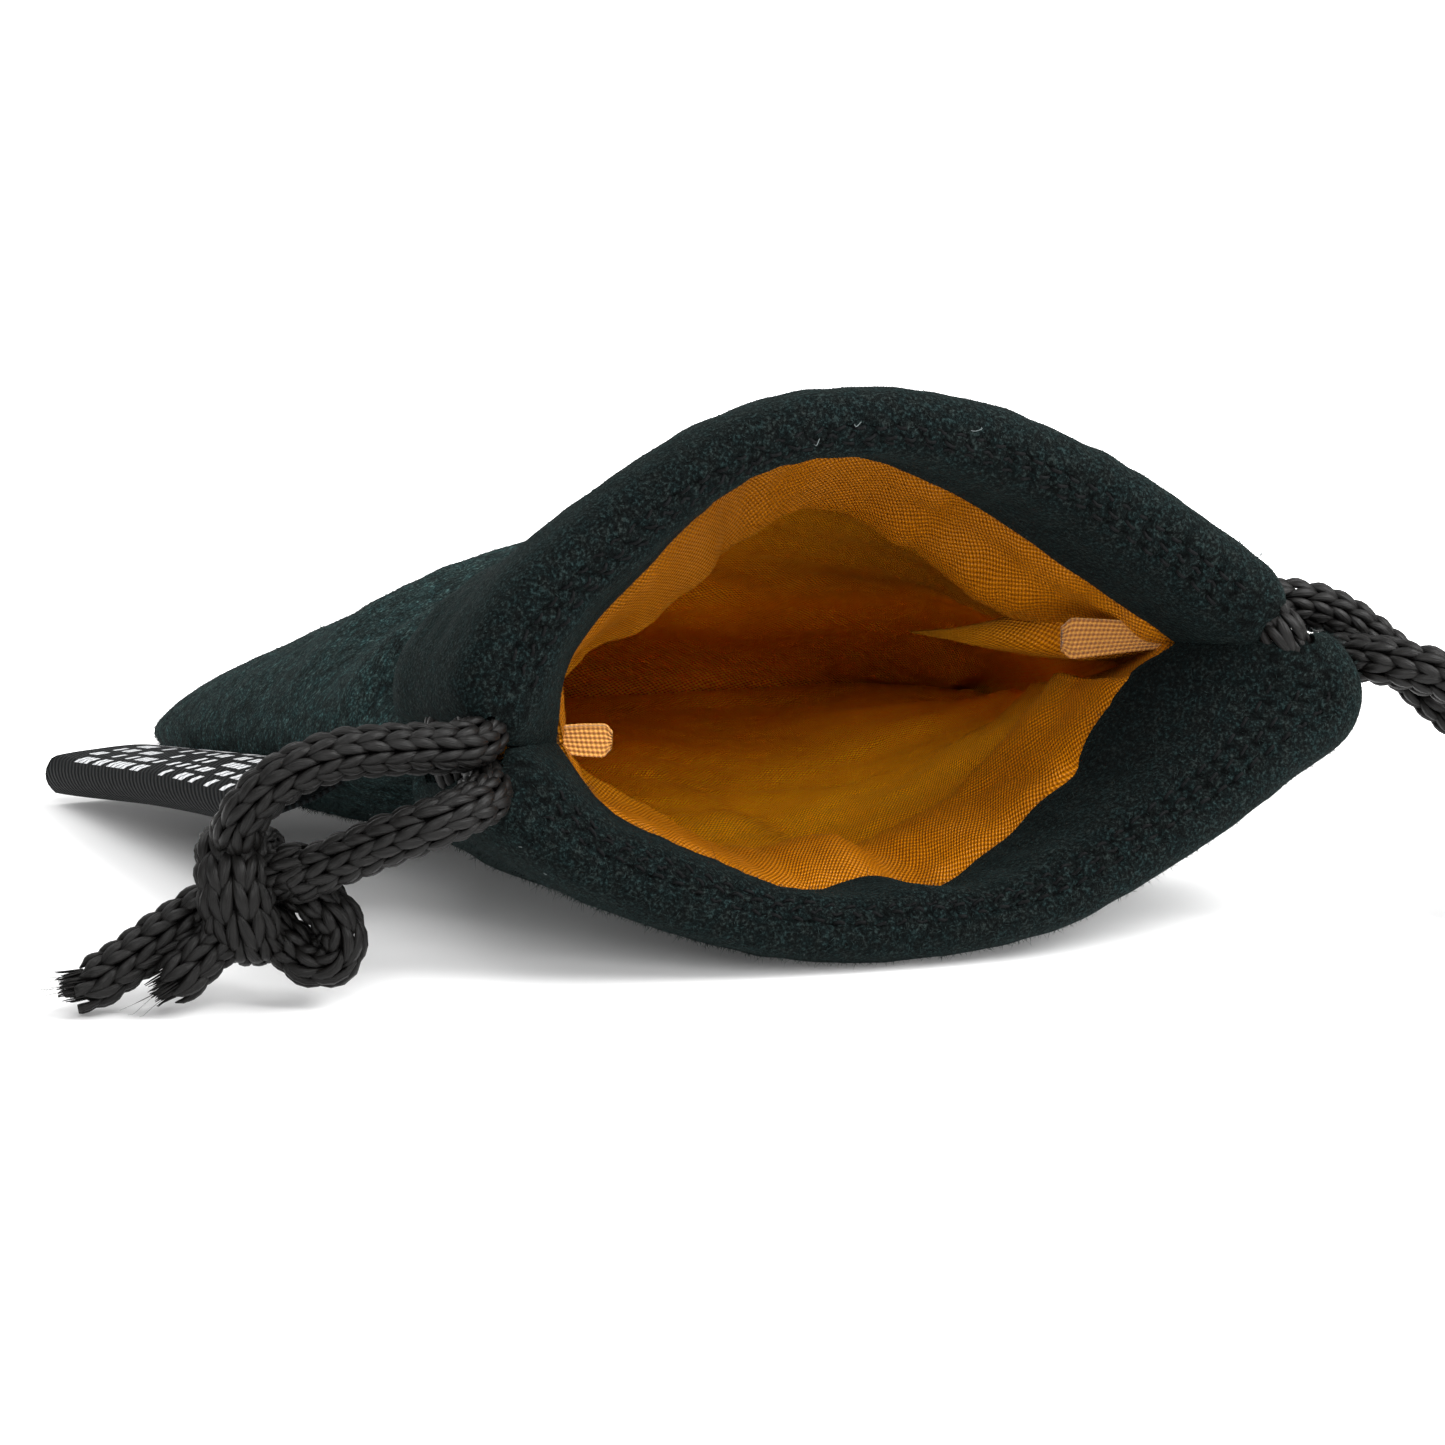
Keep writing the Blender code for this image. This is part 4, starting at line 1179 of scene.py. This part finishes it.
def make_label():
    """Folded strip caught in the left seam, with a generic row of pips woven in."""
    roots = [cloth("upper", -1.0, y) for y in (LABEL_NEAR_Y, LABEL_FAR_Y)]
    folds = [np.array(LABEL_NEAR_FOLD, float), np.array(LABEL_FAR_FOLD, float)]
    along_seam = (roots[1] - roots[0]) / np.linalg.norm(roots[1] - roots[0])
    stations = 60
    rings = []
    for k in range(stations):
        share = k / (stations - 1)
        root = roots[0] * (1 - share) + roots[1] * share
        fold = folds[0] * (1 - share) + folds[1] * share
        out = fold - root
        out -= along_seam * (out @ along_seam)
        width = np.linalg.norm(out)
        out /= width
        loop = 1.7 + 0.4 * share
        up = np.cross(along_seam, out)
        up = up / np.linalg.norm(up) * np.sign(up[2])
        bow = 0.35 * math.sin(math.pi * share * 1.4)
        outline = [(0.8, 0.35), (0.35 * width, 0.85 * loop), (0.7 * width, loop * 0.98)]
        for angle in range(70, -71, -20):
            a = math.radians(angle)
            outline.append((width - loop + loop * math.cos(a), loop * math.sin(a)))
        outline += [(0.7 * width, -loop * 0.98), (0.35 * width, -0.85 * loop), (0.8, -0.35)]
        outline = even_line(outline, 64)
        rings.append([root + out * r + up * (h + bow * r / width) for r, h in outline])
    middle = np.array(rings).transpose(1, 0, 2)
    outer, inner = with_thickness(middle, np.full(middle.shape[:2], LABEL_PLY))
    across = lengths(middle[:, 0])
    lengthways = np.linspace(0, LABEL_FAR_Y - LABEL_NEAR_Y, stations)
    uv = np.stack(np.broadcast_arrays(lengthways[None, :], across[:, None]), -1)
    made = ply("label_strip", outer, inner, uv, [LABEL])
    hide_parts("woven_label")
    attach(made, "label")


def seam_tape(name, node, root, tip, half_widths, wave):
    """End of the tape that binds an inner side seam, a strip standing up across the corner.

    half_widths run from the root to the tip; wave is how far the strip curls, in mm.
    """
    root, tip = np.array(root, float), np.array(tip, float)
    stations, columns = 40, 18
    shares = np.linspace(0, 1, stations)
    reach = np.linalg.norm(tip - root)
    along = (tip - root) / reach
    towards = np.cross(along, (0, 0, 1))
    towards /= np.linalg.norm(towards)
    upward = np.cross(towards, along)
    places = np.linspace(0, 1, len(half_widths))
    half = np.interp(shares, places, half_widths)
    rounded = np.sqrt(np.clip(1 - (np.clip(shares - 0.9, 0, 1) / 0.1) ** 2, 0.3, 1))
    across = np.linspace(-1, 1, columns)
    rows = []
    for share, half_width, end in zip(shares, half, rounded):
        curl = wave * math.sin(math.pi * share)
        rows.append([root + along * reach * share + upward * half_width * end * a
                     + towards * (curl + 0.35 * wave * a * a) for a in across])
    middle = np.array(rows)
    outer, inner = with_thickness(middle, np.full(middle.shape[:2], TAPE_PLY))
    uv = np.stack(np.broadcast_arrays(shares[:, None] * reach, across[None, :] * max(half_widths)),
                  -1)
    made = ply(name, outer, inner, uv, [TWILL])
    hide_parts(node)
    mouth_blend(made, "seam")


# ---------------------------------------------------------------- stage

# Middle of the soft shadow on the table, where the floor's painted glow is weakest, in the frame's
# metres
SHADOW_PLACE = (-0.05, -0.04, 0)


def make_stage():
    bpy.ops.mesh.primitive_plane_add(size=6, location=(0, 0, -0.0002))
    floor = bpy.context.object
    floor.name = "floor"
    n = Nodes("floor_paper", Roughness=0.7, Specular_IOR_Level=0.2, Base_Color=(0.9, 0.9, 0.9, 1),
              Emission_Color=(1, 1, 1, 1))
    # painted light: the floor glows, faintly near SHADOW_PLACE and strongly further out, which
    # whitens the table and lightens the shadows round the bag
    away = n.add("ShaderNodeVectorMath", {0: n.object_place(), 1: SHADOW_PLACE},
                 operation="DISTANCE").outputs["Value"]
    n.join(Emission_Strength=n.between(away, 0.05, 0.22, 0.05, 0.9))
    floor.data.materials.append(n.material)
    world = bpy.data.worlds.new("studio")
    bpy.context.scene.world = world
    world.use_nodes = True
    background = world.node_tree.nodes["Background"]
    background.inputs["Color"].default_value = (1, 1, 1, 1)
    background.inputs["Strength"].default_value = 0.5
    add_light("key", (0.42, -0.25, 0.52), (0, 0, 0.02), 0.5, 8.5)
    add_light("front", (-0.2, -0.7, 0.45), (0, -0.03, 0.02), 0.4, 3.5)
    add_light("fill", (-0.25, 0.3, 0.7), (0, 0, 0.02), 0.6, 3)


def add_light(name, place, target, size, power):
    data = bpy.data.lights.new(name, "AREA")
    data.size = size
    data.energy = power
    light = bpy.data.objects.new(name, data)
    light.location = place
    light.rotation_euler = (Vector(target) - Vector(place)).to_track_quat("-Z", "Y").to_euler()
    bpy.context.scene.collection.objects.link(light)


def make_camera():
    data = bpy.data.cameras.new("camera")
    data.lens = CAMERA_LENS
    data.sensor_width = 36
    data.clip_start = 0.01
    camera = bpy.data.objects.new("camera", data)
    camera.location = np.array(CAMERA_PLACE) * MM
    camera.rotation_euler = [math.radians(a) for a in CAMERA_TURN]
    bpy.context.scene.collection.objects.link(camera)
    bpy.context.scene.camera = camera


bpy.context.scene.view_settings.view_transform = "Standard"
make_camera()
make_stage()
make_cords()

for side in ("upper", "lower"):
    fleece, face_a, face_b = fleece_side(side)
    if side == "upper":
        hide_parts("outer_upper_panel", "upper_hem_crown", "upper_hem_left_shoulder",
                    "upper_hem_right_shoulder")
    else:
        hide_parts("outer_lower_panel", "lower_hem")
    mouth_blend(fleece, side)
    shown = facing_out(face_a, face_b, side)
    fibres(side, shown, NAP_COUNT, NAP_REACH)
    hidden = face_b if shown is face_a else face_a
    seam_rows(side, shown, hidden)
    lint(side, shown, LINT_COUNT)
    lining_side(side)

make_label()
seam_tape("left_seam_tape_end", "left_seam_tape", (-31.5, -52.3, 22.6), (-21.8, -53.0, 21.7),
          (1.0, 1.2, 1.6, 1.7), 0.5)
seam_tape("right_seam_tape_end", "right_seam_tape", (39.8, -54.4, 29.4), (25.8, -52.2, 29.5),
          (0.8, 1.3, 1.8, 2.2), 0.6)
lining_fold("right_lining_fold",
            [(40, -48, 29), (34, -46.5, 28.7), (28, -44, 28.3), (22, -39, 27.6), (16, -32, 26.9)],
            (1.4, 2.3, 2.8, 2.4, 1.5, 0.6, 0.05), (1.2, 1.7, 2.0, 1.9, 1.4, 0.7, 0.05))
